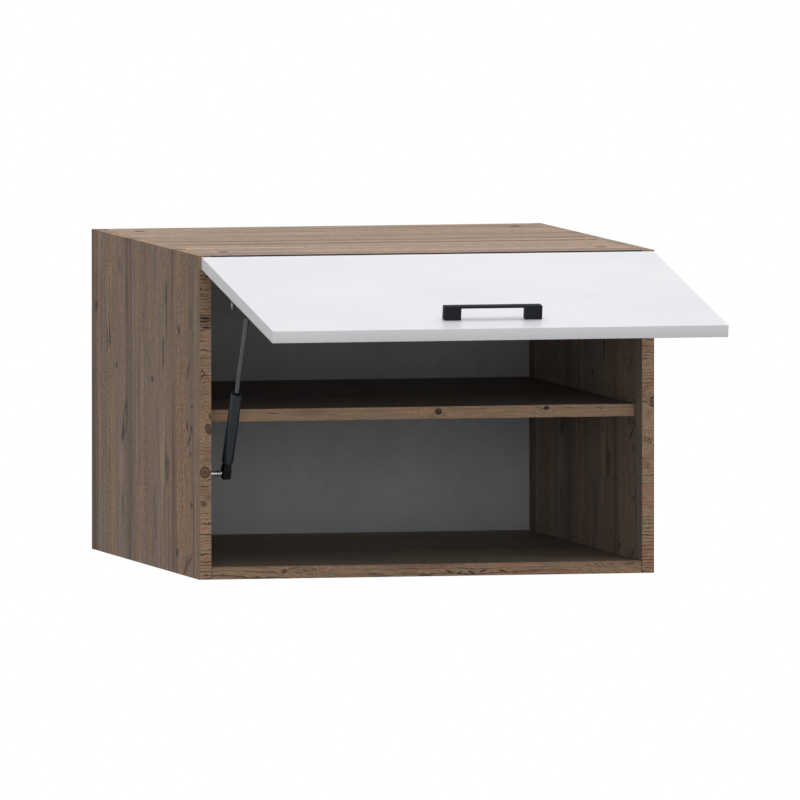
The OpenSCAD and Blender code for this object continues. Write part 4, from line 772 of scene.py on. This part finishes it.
def fastened(name, template, places, material, body, nodes=(), size=1.0, twist=2 * math.pi, seed=1):
    # places: points with the direction that each piece's own +Z looks in
    mesh = bpy.data.meshes.new(name + "Points")
    mesh.from_pydata([p for p, _ in places], [], [])
    facing = mesh.attributes.new("facing", "FLOAT_VECTOR", "POINT")
    facing.data.foreach_set("vector", [c for _, d in places for c in d])
    seat = bpy.data.objects.new(name + "Points", mesh)
    bpy.context.scene.collection.objects.link(seat)
    modifier = seat.modifiers.new("fasteners", "NODES")
    modifier.node_group = fasteners
    sockets = {i.name: i.identifier for i in fasteners.interface.items_tree if i.in_out == "INPUT"}
    for label, value in (("Fastener", template), ("Finish", material), ("Size", size), ("Twist", twist),
                         ("Seed", seed)):
        modifier[sockets[label]] = value
    seat.update_tag()
    bpy.context.view_layer.update()
    made = bpy.data.meshes.new_from_object(seat.evaluated_get(bpy.context.evaluated_depsgraph_get()))
    made.name = name
    seat.modifiers.clear()
    bpy.data.objects.remove(seat)
    piece = bpy.data.objects.new(name, made)
    bpy.context.scene.collection.objects.link(piece)
    return settle(piece, material, body, *nodes)


edges = {"radius": 0.45 * mm, "shelfRadius": 0.5 * mm}


def makeEdgings():
    for name, node, key in (("sideEdgeLeft", "side_edging_left", "left"), ("sideEdgeRight", "side_edging_right", "right"),
                            ("topEdge", "top_edging", "top"), ("bottomEdge", "bottom_edging", "bottom"),
                            ("shelfEdge", "shelf_edging", "shelf")):
        settle(softened(name, node, edges["radius"], 3), edgeDecors[key], "carcass", node)


makeEdgings()

brackets = {"edge": 0.5 * mm}
for side in ("left", "right"):
    settle(softened("wallBracket" + side.title(), "wall_bracket_" + side, brackets["edge"], 2), stampedFinish,
           "carcass", "wall_bracket_" + side)
print("edgings and wall brackets made")


screw = {"shank": 3.5 * mm, "head": 6.8 * mm, "length": 14 * mm, "cross": 3.6 * mm, "slot": 0.75 * mm,
         "deep": 1.1 * mm, "threads": 7}


def woodScrew():
    r, head, length = screw["shank"] / 2, screw["head"] / 2, screw["length"]
    cone = head - r
    profile = [(0, 0), (head - 0.15 * mm, 0), (head, -0.12 * mm), (r, -cone), (r, -cone - 1.2 * mm)]
    start, tip = -cone - 1.2 * mm, -length + 3.2 * mm
    pitch = (start - tip) / screw["threads"]
    for i in range(screw["threads"]):
        z = start - i * pitch
        profile += [(r - 0.45 * mm, z - 0.25 * pitch), (r, z - 0.5 * pitch), (r - 0.45 * mm, z - 0.75 * pitch)]
    profile += [(r - 0.45 * mm, tip), (0, -length)]
    return carved("woodScrew", lathe(bmesh.new(), profile, 20), crossRecess(screw["cross"], screw["slot"], screw["deep"]))


def panScrew(name, shank, head, rise, length, cross, deep):
    # head above z = 0, shank below it
    profile = [(0, rise), (head * 0.30, rise), (head * 0.42, rise - 0.12 * rise), (head * 0.49, rise * 0.55),
               (head / 2, rise * 0.2), (head / 2, 0), (shank / 2, 0), (shank / 2, -length + 0.4 * mm),
               (shank / 2 - 0.4 * mm, -length), (0, -length)]
    return carved(name, lathe(bmesh.new(), profile, 32), crossRecess(cross, cross * 0.24, deep, rise))


cam = {"radius": 7.5 * mm, "height": 12.3 * mm, "rim": 0.5 * mm, "cross": 7 * mm, "slot": 1.6 * mm, "deep": 3 * mm}


def camLock():  # its outer face at z = 0, with a rim, a driver cross and an arrow
    r, h, rim = cam["radius"], cam["height"], cam["rim"]
    profile = [(0, 0.08 * mm), (r - 1.2 * mm, 0.08 * mm), (r - 1.1 * mm, 0.14 * mm), (r - rim, 0.14 * mm),
               (r - 0.15 * mm, 0),
               (r, -rim), (r, -h + 0.4 * mm), (r - 0.4 * mm, -h), (0, -h)]
    cutter = crossRecess(cam["cross"], cam["slot"], cam["deep"])
    arrow = [cutter.verts.new((x * mm, y * mm, z * mm)) for z in (-0.6, 1) for x, y in ((4.3, -1.0), (6.0, 0), (4.3, 1.0))]
    for face in ((2, 1, 0), (3, 4, 5), (0, 1, 4, 3), (1, 2, 5, 4), (2, 0, 3, 5)):
        cutter.faces.new([arrow[i] for i in face])
    box(cutter, (-r * 2, -4 * mm, -12.3 * mm), (1.5 * mm, 4 * mm, -4.3 * mm))
    return carved("camLock", lathe(bmesh.new(), profile, 40), cutter)


def backNail():
    profile = [(0, 0), (0.9 * mm, -0.06 * mm), (1.45 * mm, -0.2 * mm), (1.6 * mm, -0.36 * mm), (1.6 * mm, -0.6 * mm),
               (0.8 * mm, -0.6 * mm), (0.8 * mm, -19 * mm), (0, -20 * mm)]
    piece = newPiece("backNail", lathe(bmesh.new(), profile, 16))
    return piece


def shelfPin():  # its axis along +Z out of the side panel, the tongue's flat face towards +Y
    shape = lathe(bmesh.new(), [(0, -10 * mm), (2.2 * mm, -10 * mm), (2.5 * mm, -9.6 * mm), (2.5 * mm, 8.6 * mm),
                                (2.1 * mm, 9 * mm), (0, 9 * mm)], 24)
    made = box(shape, (-4.5 * mm, 0, 0), (4.5 * mm, 2.5 * mm, 9 * mm))
    upright = [e for e in shape.edges if all(v in made for v in e.verts) and abs(e.verts[0].co.y - e.verts[1].co.y) > mm]
    bmesh.ops.bevel(shape, geom=upright, offset=1.2 * mm, segments=3, affect="EDGES")
    return newPiece("shelfPin", shape)


def doorBumper():
    profile = [(0, 3 * mm), (1.2 * mm, 2.95 * mm), (2.3 * mm, 2.7 * mm), (3.2 * mm, 2.15 * mm), (3.75 * mm, 1.3 * mm),
               (4 * mm, 0.35 * mm), (4 * mm, 0), (0, 0)]
    return newPiece("doorBumper", lathe(bmesh.new(), profile, 28))


build = {"width": 0.6, "height": 0.416, "depth": 0.63, "board": 0.016, "hingeX": 0.2, "hingeY": -0.6422,
         "hingeZ": 0.1985, "open": 80.0, "ceiling": 0.192, "plateY": -0.59, "armScrewY": -0.579,
         "armUnder": 0.1828, "doorIn": -0.6332, "doorOut": -0.6492, "cupZ": 0.1855, "handleZ": -0.156,
         "headZ": 0.0987}
onDoor = (Matrix.Translation((0, build["hingeY"], build["hingeZ"]))
          @ Matrix.Rotation(math.radians(-build["open"]), 4, "X")
          @ Matrix.Translation((0, -build["hingeY"], -build["hingeZ"])))
strut = {"foot": (-0.2592, -0.605, -0.073), "lean": 30.2189, "length": 0.258355, "tube": 7.5 * mm, "tubeLength": 105.6 * mm,
         "reach": 17.2 * mm, "rod": 3 * mm, "ball": 4 * mm, "shell": (12 * mm, 14 * mm), "tail": 6.5 * mm, "shellCorner": 7}
onStrut = Matrix.Translation(strut["foot"]) @ Matrix.Rotation(math.radians(strut["lean"]), 4, "X")
onHead = onStrut @ Matrix.Translation((0, 0, strut["length"])) @ Matrix.Rotation(math.pi, 4, "X")


def doorSpot(point, direction):
    return (tuple(onDoor @ Vector(point)), tuple(onDoor.to_3x3() @ Vector(direction)))


def makeFasteners():
    woodTemplate = woodScrew()
    carcassScrews, doorScrews = [], []
    for s in (-1, 1):
        for z in (0.1455, 0.1685):
            carcassScrews.append(((s * 0.282, -0.028, z), (-s, 0, 0)))
        for dx in (-0.016, 0.016):
            carcassScrews.append(((s * build["hingeX"] + dx, build["plateY"], build["ceiling"] - 0.0015), (0, 0, -1)))
        for dx in (-0.024, 0.024):
            doorScrews.append(doorSpot((s * build["hingeX"] + dx, build["doorIn"] + 0.0012, build["cupZ"]), (0, 1, 0)))
        carcassScrews.append(((-0.2815, -0.605, -0.073 + s * 0.016), (1, 0, 0)))
        doorScrews.append(doorSpot((-0.2629, build["doorIn"] + 0.002, build["headZ"] + s * 0.0085), (0, 1, 0)))
    fastened("carcassScrews", woodTemplate, carcassScrews, brightFinish, "carcass",
             ("wall_bracket_screws", "hinge_plate_screws", "strut_foot_screws"), seed=3)
    fastened("doorScrews", woodTemplate, doorScrews, brightFinish, "door",
             ("hinge_cup_screws", "strut_head_screws"), seed=5)

    handleTemplate = panScrew("handleScrew", 4 * mm, 8 * mm, 2.4 * mm, 25 * mm, 4.4 * mm, 1.4 * mm)
    fastened("handleScrews", handleTemplate, [doorSpot((s * 0.048, build["doorIn"], build["handleZ"]), (0, 1, 0))
                                              for s in (-1, 1)], brightFinish, "door", ("handle_screws",), seed=7)
    clampTemplate = panScrew("clampScrew", 5 * mm, 8 * mm, 2 * mm, 6.6 * mm, 5 * mm, 1.2 * mm)
    fastened("hingeClampScrews", clampTemplate, [((s * build["hingeX"], build["armScrewY"], build["armUnder"]), (0, 0, -1))
                                                 for s in (-1, 1)], brightFinish, "carcass", ("hinge_arm_screws",),
             seed=11)

    camPlaces = []
    for level in (-1, 1):
        for s in (-1, 1):
            for y in (-0.548, -0.065):
                camPlaces.append(((s * 0.25, y, level * 0.2078), (0, 0, level)))
    fastened("camLocks", camLock(), camPlaces, camCapShadeFinish, "carcass", ("cam_locks",), twist=0.5, seed=13)

    nails = [((s * 0.292, -0.00002, z), (0, 1, 0)) for s in (-1, 1) for z in (-0.168, 0, 0.168)]
    nails += [((x, -0.00002, s * 0.2), (0, 1, 0)) for s in (-1, 1) for x in (-0.244, -0.122, 0, 0.122, 0.244)]
    fastened("backNails", backNail(), nails, brightFinish, "carcass", ("back_nails",), seed=17)

    bumpers = [doorSpot((s * 0.292, build["doorIn"], -0.176), (0, 1, 0)) for s in (-1, 1)]
    fastened("doorBumpers", doorBumper(), bumpers, bumperFinish, "door", ("door_bumpers",), seed=19)
    for name in ("woodScrew", "handleScrew", "clampScrew", "camLock", "backNail", "doorBumper"):
        bpy.data.objects.remove(bpy.data.objects[name])


makeFasteners()

pins = {"rows": (-0.532, -0.065), "height": -0.0105, "wall": 0.284}


def makeShelfPins():
    shape = bmesh.new()
    template = shelfPin()
    for s in (-1, 1):
        for y in pins["rows"]:
            turn = Matrix(((0, 0, -s, 0), (s, 0, 0, 0), (0, 1, 0, 0), (0, 0, 0, 1)))
            mesh = template.data.copy()
            mesh.transform(Matrix.Translation((s * pins["wall"], y, pins["height"])) @ turn)
            shape.from_mesh(mesh)
    bpy.data.objects.remove(template)
    settle(newPiece("shelfPins", shape), brightFinish, "carcass", "shelf_pins")


makeShelfPins()
print("screws, nails, cams, pins and bumpers set")


door = {"rim": 0.8 * mm, "radius": 0.7 * mm, "handleEdge": 0.35 * mm}


def makeDoor():
    # one closed strip with rounded outer corners round the panel
    half = build["width"] / 2 - 2 * mm
    low, high = -build["height"] / 2 + 2 * mm, build["height"] / 2 - 2 * mm
    r, t = door["radius"], door["rim"]
    outY, inY = build["doorOut"], build["doorIn"]
    section = []  # distance outwards from the inner side of the strip, and depth
    for i in range(5):
        a = math.pi / 2 * i / 4
        section.append((t - r + r * math.sin(a), outY + r - r * math.cos(a)))
    for i in range(5):
        a = math.pi / 2 * i / 4
        section.append((t - r + r * math.cos(a), inY - r + r * math.sin(a)))
    section = [(0.0, outY)] + section + [(0.0, inY)]
    shape = bmesh.new()
    rings = []
    for sx, sz in ((-1, -1), (1, -1), (1, 1), (-1, 1)):
        cornerX, cornerZ = sx * (half - t), (low if sz < 0 else high) - sz * t
        rings.append([shape.verts.new(onDoor @ Vector((cornerX + sx * d, y, cornerZ + sz * d))) for d, y in section])
    for i in range(4):
        for k in range(len(section)):
            m = (k + 1) % len(section)
            shape.faces.new((rings[i][k], rings[i][m], rings[(i + 1) % 4][m], rings[(i + 1) % 4][k]))
    settle(newPiece("doorRim", shape, 50), rimFinish, "door", "door_edging")
    settle(softened("bridgeHandle", "handle", door["handleEdge"], 3, shortest=0.0005), handleFinish, "door", "handle")


makeDoor()
print("door made")


hinges = {"edge": 0.25 * mm, "cupEdge": 0.2 * mm}


def makeHinges():
    for side in ("left", "right"):
        tail = side.title()
        settle(softened("hingePlate" + tail, "hinge_plate_" + side, hinges["edge"], 2), stampedFinish, "carcass",
               "hinge_plate_" + side)
        settle(softened("hingeArm" + tail, "hinge_arm_" + side, hinges["edge"], 2), stampedFinish, "carcass",
               "hinge_arm_" + side)
        settle(softened("hingeCup" + tail, "hinge_cup_" + side, hinges["cupEdge"], 2), stampedFinish, "door",
               "hinge_cup_" + side)
    settle(softened("strutFootPlate", "strut_foot_plate", 0.5 * mm, 3), bracketPaintShadeFinish, "carcass", "strut_foot_plate")
    settle(softened("strutHeadBracket", "strut_head_bracket", 0.35 * mm, 2), bracketPaintShadeFinish, "door",
           "strut_head_bracket")


makeHinges()
print("hinges and strut brackets made")


def arc(centre, radius, start, end, count):
    return [(centre[0] + radius * math.cos(math.radians(start + (end - start) * i / count)),
             centre[1] + radius * math.sin(math.radians(start + (end - start) * i / count))) for i in range(count + 1)]


def makeTube():
    r, reach, top = strut["tube"], strut["reach"], strut["reach"] + strut["tubeLength"]
    bore, wall = r - 1.2 * mm, 2.5 * mm
    lip = strut["rod"] + 1 * mm
    profile = [(0, reach)] + [(2.6 * mm, reach), (r - 1.6 * mm, reach)] + arc((r - 1.6 * mm, reach + 1.6 * mm), 1.6 * mm,
                                                                             -90, 0, 6)
    profile += arc((r - 1.4 * mm, top - 1.4 * mm), 1.4 * mm, 0, 90, 6)
    profile += [(lip + 0.3 * mm, top), (lip, top - 0.3 * mm), (lip, top - 0.8 * mm), (bore, top - 0.8 * mm),
                (bore, reach + wall), (0, reach + wall)]
    shape = lathe(bmesh.new(), profile, 64, onStrut)
    lathe(shape, [(0, reach - 7 * mm), (2.2 * mm, reach - 7 * mm), (2.5 * mm, reach - 6.7 * mm), (2.5 * mm, reach + 0.2 * mm),
                  (0, reach + 0.2 * mm)], 32, onStrut)
    settle(newPiece("strutTube", shape, 40), tubeFinish, "strut_cylinder", "strut_tube")


def makeSocket(name, place, body, node):
    # a moulded shell: a squarish body round the ball, a fluted neck and two seams
    halfW, halfD = strut["shell"][0] / 2, strut["shell"][1] / 2
    reach, tail = strut["reach"], strut["tail"]
    layers = [(-tail, 0.74, 0.30), (-tail + 0.5 * mm, 0.88, 0.30), (-tail + 1.4 * mm, 0.985, 0.28), (-tail + 2.2 * mm, 1.0, 0.28),
              (0.55 * mm, 1.0, 0.28), (0.7 * mm, 0.955, 0.28), (1.35 * mm, 0.955, 0.28), (1.5 * mm, 1.0, 0.28),
              (4.5 * mm, 1.0, 0.28), (4.65 * mm, 0.955, 0.28), (5.3 * mm, 0.955, 0.28), (5.45 * mm, 1.0, 0.30),
              (8.4 * mm, 0.99, 0.34), (9.4 * mm, 0.96, 0.42)]
    count = 72
    shape = bmesh.new()
    rings = []

    def ringAt(z, width, depth, corner, flute):
        ring = []
        for i in range(count):
            a = 2 * math.pi * i / count
            power = 2 + strut["shellCorner"] * (1 - min(corner, 1)) ** 1.5
            c, s = math.cos(a), math.sin(a)
            reachOut = (abs(c) ** power + abs(s) ** power) ** (-1 / power)
            groove = 1 - flute * max(0.0, math.cos(12 * a)) ** 2
            ring.append(shape.verts.new(place @ Vector((width * reachOut * c * groove, depth * reachOut * s * groove, z))))
        return ring

    for z, scale, corner in layers:
        rings.append(ringAt(z, halfW * scale, halfD * scale, corner, 0.0))
    neck = 5.4 * mm
    for k in range(1, 9):
        f = k / 8
        z = 9.4 * mm + (reach - 0.5 * mm - 9.4 * mm) * f
        blendOut = f ** 0.7
        rings.append(ringAt(z, halfW * 0.96 * (1 - blendOut) + neck * blendOut, halfD * 0.96 * (1 - blendOut) + neck * blendOut,
                            0.42 + 0.58 * f, 0.10 * math.sin(math.pi * min(f * 1.05, 1.0))))
    rings.append(ringAt(reach - 0.05 * mm, neck - 0.4 * mm, neck - 0.4 * mm, 1.0, 0.0))
    for low, high in zip(rings, rings[1:]):
        for i in range(count):
            j = (i + 1) % count
            shape.faces.new((low[i], low[j], high[j], high[i]))
    shape.faces.new(list(reversed(rings[0])))
    shape.faces.new(rings[-1])
    cutter = bmesh.new()
    bmesh.ops.create_uvsphere(cutter, u_segments=32, v_segments=16, radius=strut["ball"] + 0.1 * mm, matrix=place)
    lathe(cutter, [(0, -halfW - mm), (3 * mm, -halfW - mm), (3 * mm, halfW + mm), (0, halfW + mm)], 32,
          place @ Matrix.Rotation(math.pi / 2, 4, "Y"))
    template = carved(name + "Cut", shape, cutter)
    mesh = template.data
    bpy.data.objects.remove(template)
    piece = bpy.data.objects.new(name, mesh)
    bpy.context.scene.collection.objects.link(piece)
    settle(piece, socketFinish, body, node)


ballStud = {"shank": 3 * mm, "collar": 4.2 * mm, "neck": 2.5 * mm}


def makeStuds():
    # along +X from the side panel: shank, hexagon-free round collar with a fillet, neck and ball
    ball, shank, collar, neck = strut["ball"], ballStud["shank"], ballStud["collar"], ballStud["neck"]
    toX = Matrix.Rotation(math.pi / 2, 4, "Y")
    footAt = Matrix.Translation(strut["foot"]) @ toX
    start = -0.284 - strut["foot"][0]
    collarAt = -strut["shell"][0] / 2 - 5.2 * mm
    profile = [(0, start + 0.02 * mm), (shank - 0.2 * mm, start + 0.02 * mm), (shank, start + 0.25 * mm), (shank, collarAt - 0.5 * mm),
               (shank + 0.5 * mm, collarAt)]
    profile += arc((collar - 0.6 * mm, collarAt + 0.6 * mm), 0.6 * mm, -90, 0, 4)
    profile += arc((collar - 0.6 * mm, collarAt + 1.8 * mm), 0.6 * mm, 0, 90, 4)
    footProfile = profile + [(neck + 0.3 * mm, collarAt + 2.4 * mm), (neck, collarAt + 2.8 * mm)]
    angle = 180 - math.degrees(math.asin(neck / ball))
    footProfile += [(ball * math.sin(math.radians(angle * (1 - i / 14))), ball * math.cos(math.radians(angle * (1 - i / 14))))
                    for i in range(1, 15)]
    footProfile[-1] = (0, ball)
    settle(newPiece("strutFootStud", lathe(bmesh.new(), footProfile, 40, footAt), 30), litStudFinish, "carcass",
           "strut_foot_stud")

    headShut = Matrix.Translation((strut["foot"][0], build["doorIn"] + 0.0224, build["headZ"]))
    headAt = onDoor @ headShut @ toX
    rivet = -0.2805 - strut["foot"][0]
    headProfile = [(0, rivet - 0.8 * mm), (3.4 * mm, rivet - 0.8 * mm), (4 * mm, rivet - 0.4 * mm), (4 * mm, rivet),
                   (shank, rivet), (shank, collarAt - 0.5 * mm), (shank + 0.5 * mm, collarAt)]
    headProfile += profile[5:] + [(neck + 0.3 * mm, collarAt + 2.4 * mm), (neck, collarAt + 2.8 * mm),
                                  (neck, -strut["shell"][0] / 2 - 0.45 * mm), (neck - 0.1 * mm, -strut["shell"][0] / 2 - 0.35 * mm),
                                  (0, -strut["shell"][0] / 2 - 0.35 * mm)]
    settle(newPiece("strutHeadStud", lathe(bmesh.new(), headProfile, 40, headAt), 30), shadedStudFinish, "door",
           "strut_head_stud")

    ballShape = lathe(bmesh.new(), [(0, -6 * mm), (neck, -6 * mm)]
                      + [(ball * math.sin(math.radians(angle * (1 - i / 14))), ball * math.cos(math.radians(angle * (1 - i / 14))))
                         for i in range(0, 14)] + [(0, ball)], 40, onHead @ toX)
    settle(newPiece("strutHeadBall", ballShape, 30), brightFinish, "strut_plunger", "strut_head_ball")


makeTube()
makeSocket("strutFootSocket", onStrut, "strut_cylinder", "strut_foot_socket")
makeSocket("strutHeadSocket", onHead, "strut_plunger", "strut_head_socket")
makeStuds()
print("gas strut made")


studio = {
    "floorDrop": 0.85, "floorSize": 7.0, "floorColour": (246, 246, 247), "floorBounce": (92, 92, 94),
    "floorLift": 0.45, "fadeFrom": 0.9, "fadeTo": 2.9,
    "skyTop": 0.62, "skyLevel": 0.42, "skyBelow": 0.10, "skyLeft": 0.76,
    "top": {"size": (2.6, 2.6), "place": (0.1, -0.9, 2.4), "aim": (0, -0.45, 0.1), "watts": 26},
    "front": {"size": (2.6, 1.0), "place": (-0.35, -3.8, 0.15), "aim": (0, -0.4, -0.05), "watts": 22},
}
view = {"azimuth": -13.184, "elevation": 3.514, "target": (0.03815, -0.315, -0.0005), "wide": 1.03401,
        "lens": 1600.0}


def makeStudio():
    shape = bmesh.new()
    half = studio["floorSize"] / 2
    level = -build["height"] / 2 - studio["floorDrop"]
    shape.faces.new([shape.verts.new((x * half, y * half - 0.4, level)) for x, y in ((-1, -1), (1, -1), (1, 1), (-1, 1))])
    floor = newPiece("studioFloor", shape)
    material = bpy.data.materials.new("floorPaper")
    material.use_nodes = True
    material.node_tree.nodes.clear()
    n = Nodes(material.node_tree)
    ray = n.add("ShaderNodeLightPath").outputs
    seen = n.math("MAXIMUM", n.math("MAXIMUM", ray["Is Camera Ray"], ray["Is Glossy Ray"]), ray["Is Transmission Ray"])
    paper = n.noise(n.add("ShaderNodeTexCoord").outputs["Object"], (40, 40, 40), 3)
    white = n.mix(paper, tint(*studio["floorColour"]), tint(250, 250, 251))
    matt = n.add("ShaderNodeBsdfDiffuse", Color=n.mix(seen, tint(*studio["floorBounce"]), white)).outputs[0]
    bright = n.add("ShaderNodeEmission", Color=(1, 1, 1, 1), Strength=1.0).outputs[0]
    away = n.vector("LENGTH", n.vector("SUBTRACT", n.add("ShaderNodeTexCoord").outputs["Object"], (0, -0.4, level)))
    fade = n.ease(away, studio["fadeFrom"], studio["fadeTo"], studio["floorLift"], 1.0)
    blend = n.add("ShaderNodeMixShader")
    for socket, value in zip(blend.inputs, (n.math("MULTIPLY", fade, seen), matt, bright)):
        n.put(socket, value)
    clear = n.add("ShaderNodeBsdfTransparent").outputs[0]
    underneath = n.add("ShaderNodeMixShader")  # nothing is hidden from a view from below
    for socket, value in zip(underneath.inputs, (n.add("ShaderNodeNewGeometry").outputs["Backfacing"],
                                                 blend.outputs[0], clear)):
        n.put(socket, value)
    n.put(n.add("ShaderNodeOutputMaterial").inputs["Surface"], underneath.outputs[0])
    floor.data.materials.append(material)

    world = bpy.data.worlds.new("studioWorld")
    bpy.context.scene.world = world
    world.use_nodes = True
    world.node_tree.nodes.clear()
    n = Nodes(world.node_tree)
    right, _, up = n.split(n.add("ShaderNodeTexCoord").outputs["Generated"])
    glow = n.blend(n.ease(up, 0.0, 0.9), studio["skyLevel"], studio["skyTop"])
    glow = n.blend(n.ease(up, 0.0, -0.5), glow, studio["skyBelow"])
    glow = n.math("MULTIPLY", glow, n.ease(right, -0.9, 0.3, studio["skyLeft"], 1.0))
    ray = n.add("ShaderNodeLightPath").outputs
    seen = n.math("MAXIMUM", n.math("MAXIMUM", ray["Is Camera Ray"], ray["Is Glossy Ray"]), ray["Is Transmission Ray"])
    background = n.add("ShaderNodeBackground", Color=(1, 1, 1, 1), Strength=n.blend(seen, glow, 1.0))
    n.put(n.add("ShaderNodeOutputWorld").inputs["Surface"], background.outputs[0])

    for name in ("top", "front"):
        look = studio[name]
        lamp = bpy.data.lights.new(name + "Panel", "AREA")
        lamp.shape, lamp.size, lamp.size_y, lamp.energy = "RECTANGLE", look["size"][0], look["size"][1], look["watts"]
        holder = bpy.data.objects.new(name + "Panel", lamp)
        holder.location = look["place"]
        holder.rotation_euler = (Vector(look["aim"]) - Vector(look["place"])).to_track_quat("-Z", "Y").to_euler()
        bpy.context.scene.collection.objects.link(holder)


def makeCamera():
    lens = bpy.data.cameras.new("photoCamera")
    lens.sensor_width, lens.lens = 36.0, view["lens"]
    lens.clip_start, lens.clip_end = 1.0, 120.0
    camera = bpy.data.objects.new("photoCamera", lens)
    a, e = math.radians(view["azimuth"]), math.radians(view["elevation"])
    back = Vector((math.sin(a) * math.cos(e), -math.cos(a) * math.cos(e), math.sin(e)))
    camera.location = Vector(view["target"]) + back * (view["wide"] * view["lens"] / 36.0)
    camera.rotation_euler = (-back).to_track_quat("-Z", "Y").to_euler()
    bpy.context.scene.collection.objects.link(camera)
    bpy.context.scene.camera = camera


makeStudio()
makeCamera()
bpy.context.scene.view_settings.view_transform = "Standard"
print("studio made")
